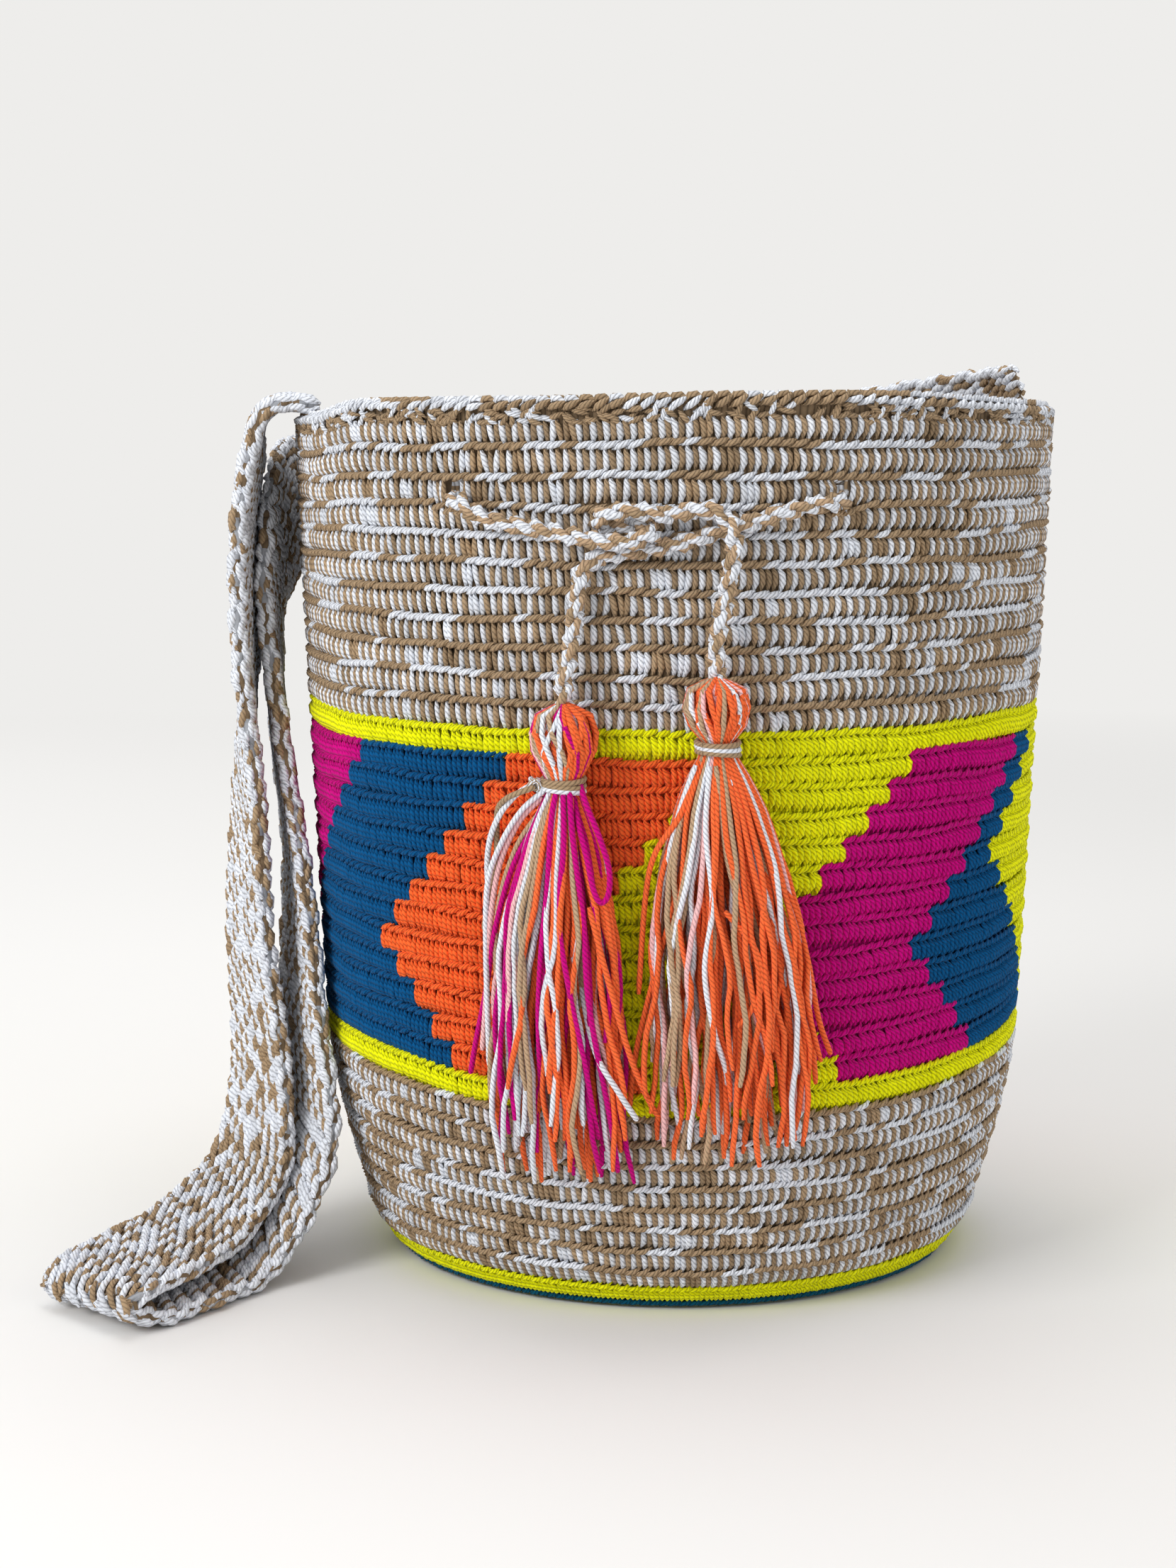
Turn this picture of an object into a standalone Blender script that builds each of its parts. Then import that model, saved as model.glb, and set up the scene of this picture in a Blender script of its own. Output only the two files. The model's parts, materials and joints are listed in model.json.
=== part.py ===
"""A crocheted shoulder bag: a round bucket body with a drawstring, two tassels and a woven strap.

Metres, +Z up. The origin is the middle of the flat underside. Angles go round the bag
in degrees, 0 at the front (-Y) and 90 at the right-hand side (+X).
"""

import math

import bmesh
import bpy
import numpy as np
from mathutils import Matrix, Vector

# Body of the bag
BAG_HEIGHT = 0.2745
BASE_RADIUS = 0.088
HEEL_HEIGHT = 0.020
HEEL_RADIUS = 0.1005
BELLY_HEIGHT = 0.077
BELLY_RADIUS = 0.1128
RIM_RADIUS = 0.1208
WALL = 0.0045
FLOOR_THICKNESS = 0.005
SIDES = 48

# Crochet rows, each a rope-like ridge over a furrow
FIRST_RIDGE = 0.0084
BODY_ROW = 0.00777
BODY_ROWS = 22
NECK_ROW = 0.00818
EDGING = 0.0134
RIDGE_DEPTH = 0.0018
FURROW_SHARE = 0.72

# Coloured band of stepped chevrons: each field's colour, and the angle and band row of its tip
FIRST_BAND_ROW = 10
BAND_ROWS = 12
STEP_ANGLE = 360 / SIDES / 2
FIELDS = (
    ("teal", -97.5, 0),
    ("orange", -52.5, 4),
    ("yellow", -22.5, 4),
    ("magenta", 7.5, 4),
    ("teal", 37.5, 4),
    ("yellow", 56.25, 7),
    ("orange", 97.5, 4),
    ("magenta", 127.5, 4),
    ("teal", 157.5, 4),
    ("orange", 187.5, 4),
    ("yellow", 217.5, 4),
    ("magenta", 247.5, 4),
)

# How the soft wall settles
FRONT_SAG = 0.007
SAG_HEIGHT = 0.075
SAG_SPREAD = 0.055
RIM_DIP = 0.004
DIP_HALF_ANGLE = 15.0
DIP_FADE_ANGLE = 18.0
DIP_DEPTH = 0.06

# Drawstring and its eyelets
CORD_DIAMETER = 0.006
EYELET_DIAMETER = 0.0105
EYELET_DROP = 0.0285
EYELET_ANGLES = (22.5, 104.0, 148.0, 200.0, 244.0, 326.0)
CORD_SPACING = 0.018
CORD_BEVEL_RESOLUTION = 2

# Tassels
SKIRT_DEPTH = 0.0108
BUNDLE_STANDOFF = SKIRT_DEPTH + 0.0008
BUNDLE_SIDES = 20
NECK_RADIUS = 0.0048
TIE_THICKNESS = 0.0026
TIE_STRETCH = 1.5
FLUTE = 0.10

# Strap
STRAP_WIDTH = 0.048
STRAP_THICKNESS = 0.005
STRAP_RIBS = 3
STRAP_GROOVE = 0.0009
STRAP_STATIONS = 51
LEFT_SEAM_ANGLE = -84.0
RIGHT_SEAM_ANGLE = -252.0

# Gap kept between pieces that touch
CLEARANCE = 0.0003

BODY_TOP = FIRST_RIDGE + BODY_ROWS * BODY_ROW
NECK_ROWS = round((BAG_HEIGHT - EDGING - BODY_TOP) / NECK_ROW)
RIDGES = [FIRST_RIDGE + i * BODY_ROW for i in range(BODY_ROWS + 1)]
RIDGES += [BODY_TOP + (i + 1) * NECK_ROW for i in range(NECK_ROWS)]

COLOURS = {
    "tan": (0.43, 0.27, 0.14),
    "yellow": (0.78, 0.82, 0.03),
    "orange": (1.0, 0.13, 0.03),
    "magenta": (0.40, 0.0, 0.15),
    "teal": (0.0, 0.11, 0.28),
    "white": (0.74, 0.77, 0.80),
}

# The drawstring's two ends, from the front eyelets to the tassels, as
# (angle, distance of its middle from the wall, drop below the rim).
LEFT_LEAD = (
    (-30.0, 0.0038, 0.0310),
    (-26.0, 0.0038, 0.0340),
    (-19.0, 0.0045, 0.0362),
    (-13.7, 0.0080, 0.0379),
    (-9.4, 0.0106, 0.0392),
    (-5.9, 0.0106, 0.0385),
    (-3.9, 0.0072, 0.0364),
    (-5.6, 0.0038, 0.0350),
    (-8.8, 0.0038, 0.0350),
    (-11.2, 0.0042, 0.0345),
    (-11.0, 0.0080, 0.0322),
    (-8.7, 0.0088, 0.0306),
    (-6.0, 0.0082, 0.0305),
    (-2.9, 0.0066, 0.0316),
    (-0.2, 0.0066, 0.0306),
    (2.9, 0.0076, 0.0299),
    (5.2, 0.0096, 0.0330),
    (6.1, 0.0106, 0.0392),
    (5.4, 0.0088, 0.0518),
    (4.6, 0.0085, 0.0608),
    (4.0, 0.0095, 0.0690),
    (4.0, 0.0113, 0.0735),
)
RIGHT_LEAD = (
    (-15.4, 0.0113, 0.0785),
    (-15.1, 0.0095, 0.0740),
    (-14.7, 0.0075, 0.0665),
    (-14.2, 0.0066, 0.0566),
    (-13.3, 0.0062, 0.0470),
    (-10.9, 0.0052, 0.0434),
    (-7.5, 0.0045, 0.0422),
    (-3.4, 0.0042, 0.0410),
    (1.6, 0.0038, 0.0384),
    (6.7, 0.0038, 0.0352),
    (12.2, 0.0038, 0.0317),
    (18.0, 0.0038, 0.0290),
)

# A tassel's outline from the top of its head down, as (drop, half width, half depth, flute share).
HEAD = (
    (0.0000, 0.0040, 0.0040, 0.0),
    (0.0030, 0.0084, 0.0080, 0.4),
    (0.0090, 0.0102, 0.0098, 0.6),
    (0.0160, 0.0096, 0.0092, 0.6),
    (0.0215, 0.0070, 0.0068, 0.3),
    (0.0240, NECK_RADIUS, NECK_RADIUS, 0.0),
    (0.0290, NECK_RADIUS, NECK_RADIUS, 0.0),
)
SKIRT = (
    (0.0310, 0.0062, 0.0058, 0.5),
    (0.0420, 0.0110, 0.0080, 1.0),
    (0.0600, 0.0165, 0.0098, 1.0),
    (0.0850, 0.0215, SKIRT_DEPTH, 1.0),
    (0.1150, 0.0235, SKIRT_DEPTH, 1.0),
    (0.1280, 0.0222, 0.0100, 1.2),
)
# Name, angle of the head, drop of its top below the rim, sideways lean of the skirt, width share,
# and how much shorter its head is than the outline above.
TASSELS = (
    ("tassel_left", -15.4, 0.0856, -0.0050, 1.0, 0.0035),
    ("tassel_right", 4.0, 0.0778, 0.0070, 1.12, 0.0069),
)

# The strap's route from the left seam over the floor and round the back to the right seam, as
# (angle, distance from the wall, height, turn and lean of its width from the level tangent).
STRAP_HANG = (
    (-84.2, 0.0080, -0.0010, 0, 0),
    (-84.2, 0.0130, -0.0065, 0, 0),
    (-84.2, 0.0150, -0.0170, -3, 0),
    (-84.0, 0.0184, -0.0400, -6, 0),
    (-84.0, 0.0202, -0.0800, -5, 0),
)
STRAP_FLOOR = (
    (-83.8, 0.0220, 0.1500, 8, 0),
    (-83.0, 0.0245, 0.1050, 14, 0),
    (-81.5, 0.0250, 0.0600, 18, 0),
    (-78.0, 0.0370, 0.0310, 20, 0),
    (-71.5, 0.0590, 0.0165, 20, 0),
    (-65.0, 0.0800, 0.0135, 17, 0),
    (-61.0, 0.0990, 0.0122, 14, 0),
    (-60.0, 0.1095, 0.0076, 13, 0),
    (-61.0, 0.1010, 0.0030, 14, 0),
    (-64.5, 0.0800, 0.0029, 17, 0),
    (-68.5, 0.0610, 0.0045, 18, 0),
    (-71.0, 0.0395, 0.0150, 16, 0),
    (-76.0, 0.0165, 0.0420, 14, 0),
    (-80.5, 0.0095, 0.0850, 10, 0),
    (-85.5, 0.0085, 0.1300, 6, -4),
)
STRAP_RISE = (
    (-88.3, 0.0115, -0.1065, 6, -4),
    (-90.5, 0.0128, -0.0705, 2, -3),
    (-92.6, 0.0112, -0.0525, 0, -30),
    (-98.4, 0.0102, -0.0393, 0, -60),
    (-106.5, 0.0130, -0.0347, 0, -80),
    (-118.0, 0.0150, -0.0345, 0, -86),
    (-134.0, 0.0150, -0.0333, 20, -87),
    (-150.0, 0.0150, -0.0320, 45, -88),
    (-180.0, 0.0150, -0.0280, 90, -90),
    (-205.0, 0.0148, -0.0215, 90, -87),
    (-225.0, 0.0125, -0.0150, 90, -81),
    (-241.0, 0.0090, -0.0115, 90, -75),
)


def clear_scene():
    for thing in list(bpy.data.objects):
        bpy.data.objects.remove(thing, do_unlink=True)


def make_collection(name, hidden=False):
    collection = bpy.data.collections.new(name)
    bpy.context.scene.collection.children.link(collection)
    collection.hide_render = hidden
    return collection


def make_material(name, colour, roughness=0.92):
    material = bpy.data.materials.new(name)
    material.use_nodes = True
    shader = material.node_tree.nodes["Principled BSDF"]
    shader.inputs["Base Color"].default_value = (*colour, 1.0)
    shader.inputs["Roughness"].default_value = roughness
    shader.inputs["Metallic"].default_value = 0.0
    return material


def add_object(name, mesh, collection, materials):
    thing = bpy.data.objects.new(name, mesh)
    for material in materials:
        mesh.materials.append(material)
    collection.objects.link(thing)
    return thing


def wall_radius(height):
    """Outermost radius of the wall at a height: a rounded heel, a belly and a slow flare."""
    if height < HEEL_HEIGHT:
        share = 1 - (1 - max(height, 0) / HEEL_HEIGHT) ** 1.8
        return BASE_RADIUS + (HEEL_RADIUS - BASE_RADIUS) * share
    if height < BELLY_HEIGHT:
        share = 1 - (1 - (height - HEEL_HEIGHT) / (BELLY_HEIGHT - HEEL_HEIGHT)) ** 1.5
        return HEEL_RADIUS + (BELLY_RADIUS - HEEL_RADIUS) * share
    share = min((height - BELLY_HEIGHT) / (BAG_HEIGHT - BELLY_HEIGHT), 1)
    return BELLY_RADIUS + (RIM_RADIUS - BELLY_RADIUS) * (1 - (1 - share) ** 1.2)


def at_angle(angle, radius, height):
    turn = math.radians(angle)
    return Vector((radius * math.sin(turn), -radius * math.cos(turn), height))


def on_wall(angle, standoff, height):
    return at_angle(angle, wall_radius(height) + standoff, height)


def angle_of(point):
    return math.degrees(math.atan2(point.x, -point.y))


def smoothstep(value):
    value = min(max(value, 0), 1)
    return value * value * (3 - 2 * value)


def rim_dip(angle):
    """How far the strap's seams pull the rim down at an angle."""
    apart = min(
        abs((angle - seam + 180) % 360 - 180) for seam in (LEFT_SEAM_ANGLE, RIGHT_SEAM_ANGLE)
    )
    return RIM_DIP * (1 - smoothstep((apart - DIP_HALF_ANGLE) / DIP_FADE_ANGLE))


def settled(point):
    """Where a point of the stiff bag comes to lie on the soft one."""
    angle = angle_of(point)
    front = max(math.cos(math.radians(angle)), 0) ** 2
    sag = FRONT_SAG * front * math.exp(-(((point.z - SAG_HEIGHT) / SAG_SPREAD) ** 2))
    sag *= smoothstep(point.z / HEEL_HEIGHT)
    dip = rim_dip(angle) * smoothstep((point.z - BAG_HEIGHT + DIP_DEPTH) / DIP_DEPTH)
    return Vector((point.x, point.y, point.z - sag - dip))


def row_of(height):
    """Index of the row whose ridge is at or next above a height."""
    return int(np.searchsorted(RIDGES, height - BODY_ROW / 100))


def in_band(row):
    return FIRST_BAND_ROW <= row < FIRST_BAND_ROW + BAND_ROWS


def row_twist(row):
    """Turn of a band row's corners, so that a colour step falls on an edge."""
    if not in_band(row):
        return 0.0
    return STEP_ANGLE * ((row - FIRST_BAND_ROW) % 2)


def row_colour(row, angle):
    if row in (0, FIRST_BAND_ROW - 1, FIRST_BAND_ROW + BAND_ROWS):
        return "yellow"
    if not in_band(row):
        return "tan"

    def past_edge(field):
        colour, tip_angle, tip_row = field
        edge = tip_angle + STEP_ANGLE * abs(row - FIRST_BAND_ROW - tip_row)
        return (angle - edge) % 360

    return min(FIELDS, key=past_edge)[0]


def wall_profile():
    """(radius, height) points from the middle of the underside over the rim to the inner floor."""
    points = [(0, 0), (BASE_RADIUS, 0)]
    row_top = None
    for ridge in RIDGES:
        if row_top is not None:
            furrow = ridge - FURROW_SHARE * (ridge - row_top)
            points.append((wall_radius(furrow) - RIDGE_DEPTH, furrow))
        points.append((wall_radius(ridge), ridge))
        row_top = ridge
    top_ridge = RIDGES[-1]
    for share, depth in ((0.28, 1.0), (0.5, 0.1), (0.68, 0.8)):
        height = top_ridge + share * EDGING
        points.append((wall_radius(height) - depth * RIDGE_DEPTH, height))
    points.append((RIM_RADIUS, BAG_HEIGHT - WALL / 3))
    points.append((RIM_RADIUS - WALL / 2, BAG_HEIGHT))
    points.append((RIM_RADIUS - WALL, BAG_HEIGHT - WALL / 3))
    for height in np.linspace(BAG_HEIGHT - 4 * WALL, HEEL_HEIGHT, 4):
        points.append((wall_radius(height) - WALL, height))
    points.append((wall_radius(FLOOR_THICKNESS) - WALL, FLOOR_THICKNESS))
    points.append((0, FLOOR_THICKNESS))
    return points


def make_bag_body(collection, materials):
    """The body: its profile turned round the axis, settled, and coloured row by row."""
    shape = bmesh.new()
    corners = [shape.verts.new((r, 0, z)) for r, z in wall_profile()]
    edges = [shape.edges.new(pair) for pair in zip(corners, corners[1:])]
    bmesh.ops.spin(
        shape,
        geom=corners + edges,
        axis=(0, 0, 1),
        cent=(0, 0, 0),
        angle=math.tau,
        steps=SIDES,
        use_merge=True,
    )
    bmesh.ops.remove_doubles(shape, verts=shape.verts, dist=1e-6)
    bmesh.ops.recalc_face_normals(shape, faces=shape.faces)
    names = list(COLOURS)
    for face in shape.faces:
        middle = face.calc_center_median()
        outside = middle.to_2d().length > wall_radius(middle.z) - WALL / 2
        row = row_of(middle.z)
        colour = row_colour(row, angle_of(middle) + row_twist(row)) if outside else "tan"
        face.material_index = names.index(colour)
        face.smooth = True
    for corner in shape.verts:
        if corner.co.to_2d().length > wall_radius(corner.co.z) - WALL / 2:
            turn = math.radians(row_twist(row_of(corner.co.z)))
            corner.co = Matrix.Rotation(turn, 3, "Z") @ corner.co
        corner.co = settled(corner.co)
    mesh = bpy.data.meshes.new("bag_body")
    shape.to_mesh(mesh)
    shape.free()
    return add_object("bag_body", mesh, collection, materials)


def make_eyelet_cutter(name, angle, collection):
    bpy.ops.mesh.primitive_cylinder_add(
        vertices=12,
        radius=EYELET_DIAMETER / 2,
        depth=WALL * 6,
        location=on_wall(angle, -WALL / 2, BAG_HEIGHT - EYELET_DROP),
        rotation=(math.pi / 2, 0, math.radians(angle)),
    )
    cutter = bpy.context.object
    cutter.name = name
    cutter.hide_render = True
    cutter.display_type = "WIRE"
    for other in cutter.users_collection:
        other.objects.unlink(cutter)
    collection.objects.link(cutter)
    return cutter


def cut_eyelets(body, collection):
    for number, angle in enumerate(EYELET_ANGLES):
        cutter = make_eyelet_cutter(f"eyelet_cutter_{number}", angle, collection)
        cut = body.modifiers.new(f"eyelet_{number}", "BOOLEAN")
        cut.operation = "DIFFERENCE"
        cut.solver = "EXACT"
        cut.object = cutter


def curve_point(stations, position):
    """A point of the smooth curve through the stations, at a position counted in stations."""
    index = min(max(int(position), 0), len(stations) - 2)
    share = position - index
    before = stations[max(index - 1, 0)]
    start, end = stations[index], stations[index + 1]
    after = stations[min(index + 2, len(stations) - 1)]
    return 0.5 * (
        2 * start
        + (end - before) * share
        + (2 * before - 5 * start + 4 * end - after) * share**2
        + (3 * start - before - 3 * end + after) * share**3
    )


def through_eyelet(angle, going):
    """Route points through an eyelet, going +1 round the bag and in, or -1 and out."""
    drop = EYELET_DROP
    inside = -WALL - CORD_DIAMETER / 2 - CLEARANCE - 0.0006
    outside = CORD_DIAMETER / 2 + CLEARANCE + 0.0005
    steps = ((-2.8, outside), (-0.5, 0.0012), (0.5, -WALL - 0.0012), (2.8, inside))
    points = [(angle + going * offset, standoff, drop) for offset, standoff in steps]
    return points if going > 0 else points[::-1]


def cord_route():
    """Route of the whole drawstring, from the left tassel round the bag to the right one."""
    ends = [(angle, BUNDLE_STANDOFF, drop - CLEARANCE) for name, angle, drop, *rest in TASSELS]
    route = [ends[0], *RIGHT_LEAD]
    for number, angle in enumerate(EYELET_ANGLES):
        route += through_eyelet(angle, 1 if number % 2 == 0 else -1)
    route += [(angle + 360, standoff, drop) for angle, standoff, drop in (*LEFT_LEAD, ends[1])]
    return route


def cord_points():
    route = cord_route()
    flat = [Vector(point) for point in route]
    points = []
    for index in range(len(route) - 1):
        here, there = (on_wall(a, s, BAG_HEIGHT - d) for a, s, d in route[index : index + 2])
        arc = math.radians(abs(route[index + 1][0] - route[index][0])) * RIM_RADIUS
        count = max(math.ceil(max(arc, (there - here).length) / CORD_SPACING - 0.3), 1)
        for step in range(count):
            if count > 2:
                angle, standoff, drop = flat[index].lerp(flat[index + 1], step / count)
            else:
                angle, standoff, drop = curve_point(flat, index + step / count)
            points.append(on_wall(angle, standoff, BAG_HEIGHT - drop))
    angle, standoff, drop = route[-1]
    points.append(on_wall(angle, standoff, BAG_HEIGHT - drop))
    return points


def make_drawstring(collection, material):
    points = cord_points()
    curve = bpy.data.curves.new("drawstring", "CURVE")
    curve.dimensions = "3D"
    curve.bevel_depth = CORD_DIAMETER / 2
    curve.bevel_resolution = CORD_BEVEL_RESOLUTION
    curve.use_fill_caps = True
    spline = curve.splines.new("POLY")
    spline.points.add(len(points) - 1)
    for slot, point in zip(spline.points, points):
        slot.co = (*point, 1.0)
    return add_object("drawstring", curve, collection, [material])


def drawn_up(down, lift):
    """How far down a tassel a part of its outline sits once the head is shorter by the lift."""
    neck, skirt, end = HEAD[-2][0], HEAD[-1][0], SKIRT[-1][0]
    if down < neck:
        return down * (1 - lift / neck)
    if down <= skirt:
        return down - lift
    return end - (end - down) * (end - skirt + lift) / (end - skirt)


def make_bundle(name, angle, drop, lean, width, lift, collection, material):
    """A tassel's yarn: a round head, a neck and a flat fluted skirt that follows the wall."""
    shape = bmesh.new()
    rings = []
    for level, half_width, half_depth, flute in HEAD + SKIRT:
        down = drawn_up(level, lift)
        slide = lean * smoothstep(down / SKIRT[-1][0])
        spread = width if level > HEAD[-1][0] else 1.0
        ring = []
        for side in range(BUNDLE_SIDES):
            turn = math.tau * side / BUNDLE_SIDES
            grow = 1 - FLUTE * flute * ((side + 1) % 2)
            across = slide + half_width * spread * grow * math.cos(turn)
            out = BUNDLE_STANDOFF + half_depth * grow * math.sin(turn)
            height = BAG_HEIGHT - drop - down
            around = angle + math.degrees(across / (wall_radius(height) + BUNDLE_STANDOFF))
            ring.append(shape.verts.new(on_wall(around, out, height)))
        rings.append(ring)
    for upper, lower in zip(rings, rings[1:]):
        for side in range(BUNDLE_SIDES):
            after = (side + 1) % BUNDLE_SIDES
            shape.faces.new((upper[side], upper[after], lower[after], lower[side]))
    shape.faces.new(rings[0])
    shape.faces.new(rings[-1])
    bmesh.ops.recalc_face_normals(shape, faces=shape.faces)
    for face in shape.faces:
        face.smooth = len(face.verts) == 4
    mesh = bpy.data.meshes.new(name)
    shape.to_mesh(mesh)
    shape.free()
    return add_object(name, mesh, collection, [material])


def make_tie(name, angle, drop, lean, lift, collection, material):
    """The yarn wound round a tassel's neck."""
    down = drawn_up((HEAD[-1][0] + HEAD[-2][0]) / 2, lift)
    slide = lean * smoothstep(down / SKIRT[-1][0])
    height = BAG_HEIGHT - drop - down
    around = angle + math.degrees(slide / (wall_radius(height) + BUNDLE_STANDOFF))
    minor = TIE_THICKNESS / 2
    bpy.ops.mesh.primitive_torus_add(
        major_segments=14,
        minor_segments=6,
        major_radius=NECK_RADIUS + CLEARANCE + minor,
        minor_radius=minor,
    )
    tie = bpy.context.object
    tie.name = name
    tie.data.name = name
    tie.data.transform(Matrix.Scale(TIE_STRETCH, 4, (0, 0, 1)))
    tie.location = on_wall(around, BUNDLE_STANDOFF, height)
    tie.data.materials.append(material)
    tie.data.shade_smooth()
    for other in tie.users_collection:
        other.objects.unlink(tie)
    collection.objects.link(tie)
    return tie


def width_direction(angle, turn, lean):
    """Direction of the strap's width: the level tangent, turned outward and then leaned."""
    along = math.radians(angle)
    tangent = Vector((-math.cos(along), -math.sin(along), 0))
    outward = Vector((math.sin(along), -math.cos(along), 0))
    turned = tangent * math.cos(math.radians(turn)) + outward * math.sin(math.radians(turn))
    tilt = math.radians(lean)
    return turned * math.cos(tilt) + Vector((0, 0, math.sin(tilt)))


def strap_stations():
    """Middle points and width directions along the strap, from seam to seam."""
    half = STRAP_THICKNESS / 2
    seat = BAG_HEIGHT - RIM_DIP + half + CLEARANCE
    stations = [
        (LEFT_SEAM_ANGLE, -WALL, seat + 0.0002, 0, 0),
        (LEFT_SEAM_ANGLE, 0.0015, seat + 0.0010, 0, 0),
    ]
    stations += [(a, s, BAG_HEIGHT + z, turn, lean) for a, s, z, turn, lean in STRAP_HANG]
    stations += list(STRAP_FLOOR)
    stations += [(a, s, BAG_HEIGHT + z, turn, lean) for a, s, z, turn, lean in STRAP_RISE]
    stations.append((RIGHT_SEAM_ANGLE, half + CLEARANCE + 0.0040, BAG_HEIGHT - 0.0100, 90, -73))
    middles = [on_wall(a, s, z) for a, s, z, turn, lean in stations]
    widths = [width_direction(a, turn, lean) for a, s, z, turn, lean in stations]
    return middles, widths


def strap_section():
    """Outline of the strap's cross-section, ribbed lengthwise on both faces."""
    count = 2 * STRAP_RIBS
    upper = []
    for number in range(count + 1):
        across = STRAP_WIDTH * (number / count - 0.5)
        high = STRAP_THICKNESS / 2 - STRAP_GROOVE * (number % 2 == 0)
        upper.append((across, high))
    return upper + [(across, -high) for across, high in reversed(upper)]


def make_strap(collection, material):
    """The strap: one ribbed section carried along its route, with its width as the route says."""
    middles, widths = strap_stations()
    section = strap_section()
    shape = bmesh.new()
    rings = []
    last = len(middles) - 1
    for number in range(STRAP_STATIONS):
        position = last * number / (STRAP_STATIONS - 1)
        middle = curve_point(middles, position)
        ahead = curve_point(middles, min(position + 0.05, last))
        behind = curve_point(middles, max(position - 0.05, 0))
        along = (ahead - behind).normalized()
        wide = curve_point(widths, position)
        wide = (wide - along * wide.dot(along)).normalized()
        up = along.cross(wide)
        rings.append([shape.verts.new(middle + wide * x + up * y) for x, y in section])
    for first, second in zip(rings, rings[1:]):
        for side in range(len(section)):
            after = (side + 1) % len(section)
            face = shape.faces.new((first[side], first[after], second[after], second[side]))
            face.smooth = True
    shape.faces.new(rings[0])
    shape.faces.new(rings[-1])
    bmesh.ops.recalc_face_normals(shape, faces=shape.faces)
    mesh = bpy.data.meshes.new("strap")
    shape.to_mesh(mesh)
    shape.free()
    return add_object("strap", mesh, collection, [material])


def main():
    clear_scene()
    bag = make_collection("mochila_bag")
    cutters = make_collection("cutters", hidden=True)
    yarns = {name: make_material(f"{name}_yarn", colour) for name, colour in COLOURS.items()}
    body = make_bag_body(bag, list(yarns.values()))
    cut_eyelets(body, cutters)
    make_strap(bag, yarns["tan"])
    make_drawstring(bag, yarns["tan"])
    for name, angle, drop, lean, width, lift in TASSELS:
        make_bundle(f"{name}_bundle", angle, drop, lean, width, lift, bag, yarns["orange"])
        make_tie(f"{name}_tie", angle, drop, lean, lift, bag, yarns["white"])


main()
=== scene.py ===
import json
import math

import bmesh
import bpy
import numpy as np
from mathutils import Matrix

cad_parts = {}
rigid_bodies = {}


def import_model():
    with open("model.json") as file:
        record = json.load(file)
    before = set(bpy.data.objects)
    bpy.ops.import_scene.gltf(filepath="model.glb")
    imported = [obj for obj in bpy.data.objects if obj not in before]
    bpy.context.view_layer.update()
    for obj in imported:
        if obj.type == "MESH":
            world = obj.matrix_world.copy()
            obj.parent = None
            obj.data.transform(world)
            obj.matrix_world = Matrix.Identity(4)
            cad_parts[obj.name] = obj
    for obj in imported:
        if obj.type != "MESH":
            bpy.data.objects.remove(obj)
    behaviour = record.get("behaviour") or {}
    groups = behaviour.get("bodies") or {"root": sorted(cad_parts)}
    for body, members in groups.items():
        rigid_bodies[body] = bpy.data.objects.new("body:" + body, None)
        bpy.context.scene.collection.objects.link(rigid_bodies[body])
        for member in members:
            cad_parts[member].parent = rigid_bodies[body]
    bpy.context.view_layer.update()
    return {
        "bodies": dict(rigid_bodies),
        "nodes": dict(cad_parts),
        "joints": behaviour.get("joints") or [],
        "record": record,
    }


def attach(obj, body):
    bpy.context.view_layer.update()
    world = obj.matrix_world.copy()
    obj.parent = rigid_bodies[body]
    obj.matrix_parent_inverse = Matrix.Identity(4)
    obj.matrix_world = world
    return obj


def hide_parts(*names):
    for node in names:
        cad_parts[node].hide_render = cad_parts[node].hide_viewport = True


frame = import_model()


def linear(red, green, blue):
    # a colour as a screen shows it, 0 to 255, made linear
    share = np.array([red, green, blue]) / 255
    return np.where(share <= 0.04045, share / 12.92, ((share + 0.055) / 1.055) ** 2.4)


yarnColours = {
    "tan": linear(172, 146, 115),
    "white": linear(236, 240, 248),
    "yellow": linear(244, 246, 10),
    "orange": linear(255, 110, 50),
    "coral": linear(255, 114, 60),
    "sand": linear(194, 164, 132),
    "magenta": linear(206, 0, 130),
    "teal": linear(0, 84, 138),
    "deepTeal": linear(0, 80, 112),
    "pink": linear(250, 196, 196),
}


# Camera, where the photograph was taken from

view = {
    "place": (-0.0275, -0.96, 0.276),
    "photoRows": 2212,  # this and the next two in the photograph's pixels
    "horizon": 560,
    "focal": 4150,
    "sensor": 36,
}

cameraData = bpy.data.cameras.new("camera")
cameraData.lens = view["sensor"] * view["focal"] / view["photoRows"]
cameraData.sensor_width = view["sensor"]
cameraData.sensor_fit = "AUTO"
cameraData.clip_start = 0.01
camera = bpy.data.objects.new("camera", cameraData)
camera.location = view["place"]
dip = math.atan((view["photoRows"] / 2 - view["horizon"]) / view["focal"])
camera.rotation_euler = (math.pi / 2 - dip, 0, 0)
bpy.context.scene.collection.objects.link(camera)
bpy.context.scene.camera = camera
print("camera placed")


# The bag's shape, as in the CAD model. Angles go round the bag in degrees from the front.

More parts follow.
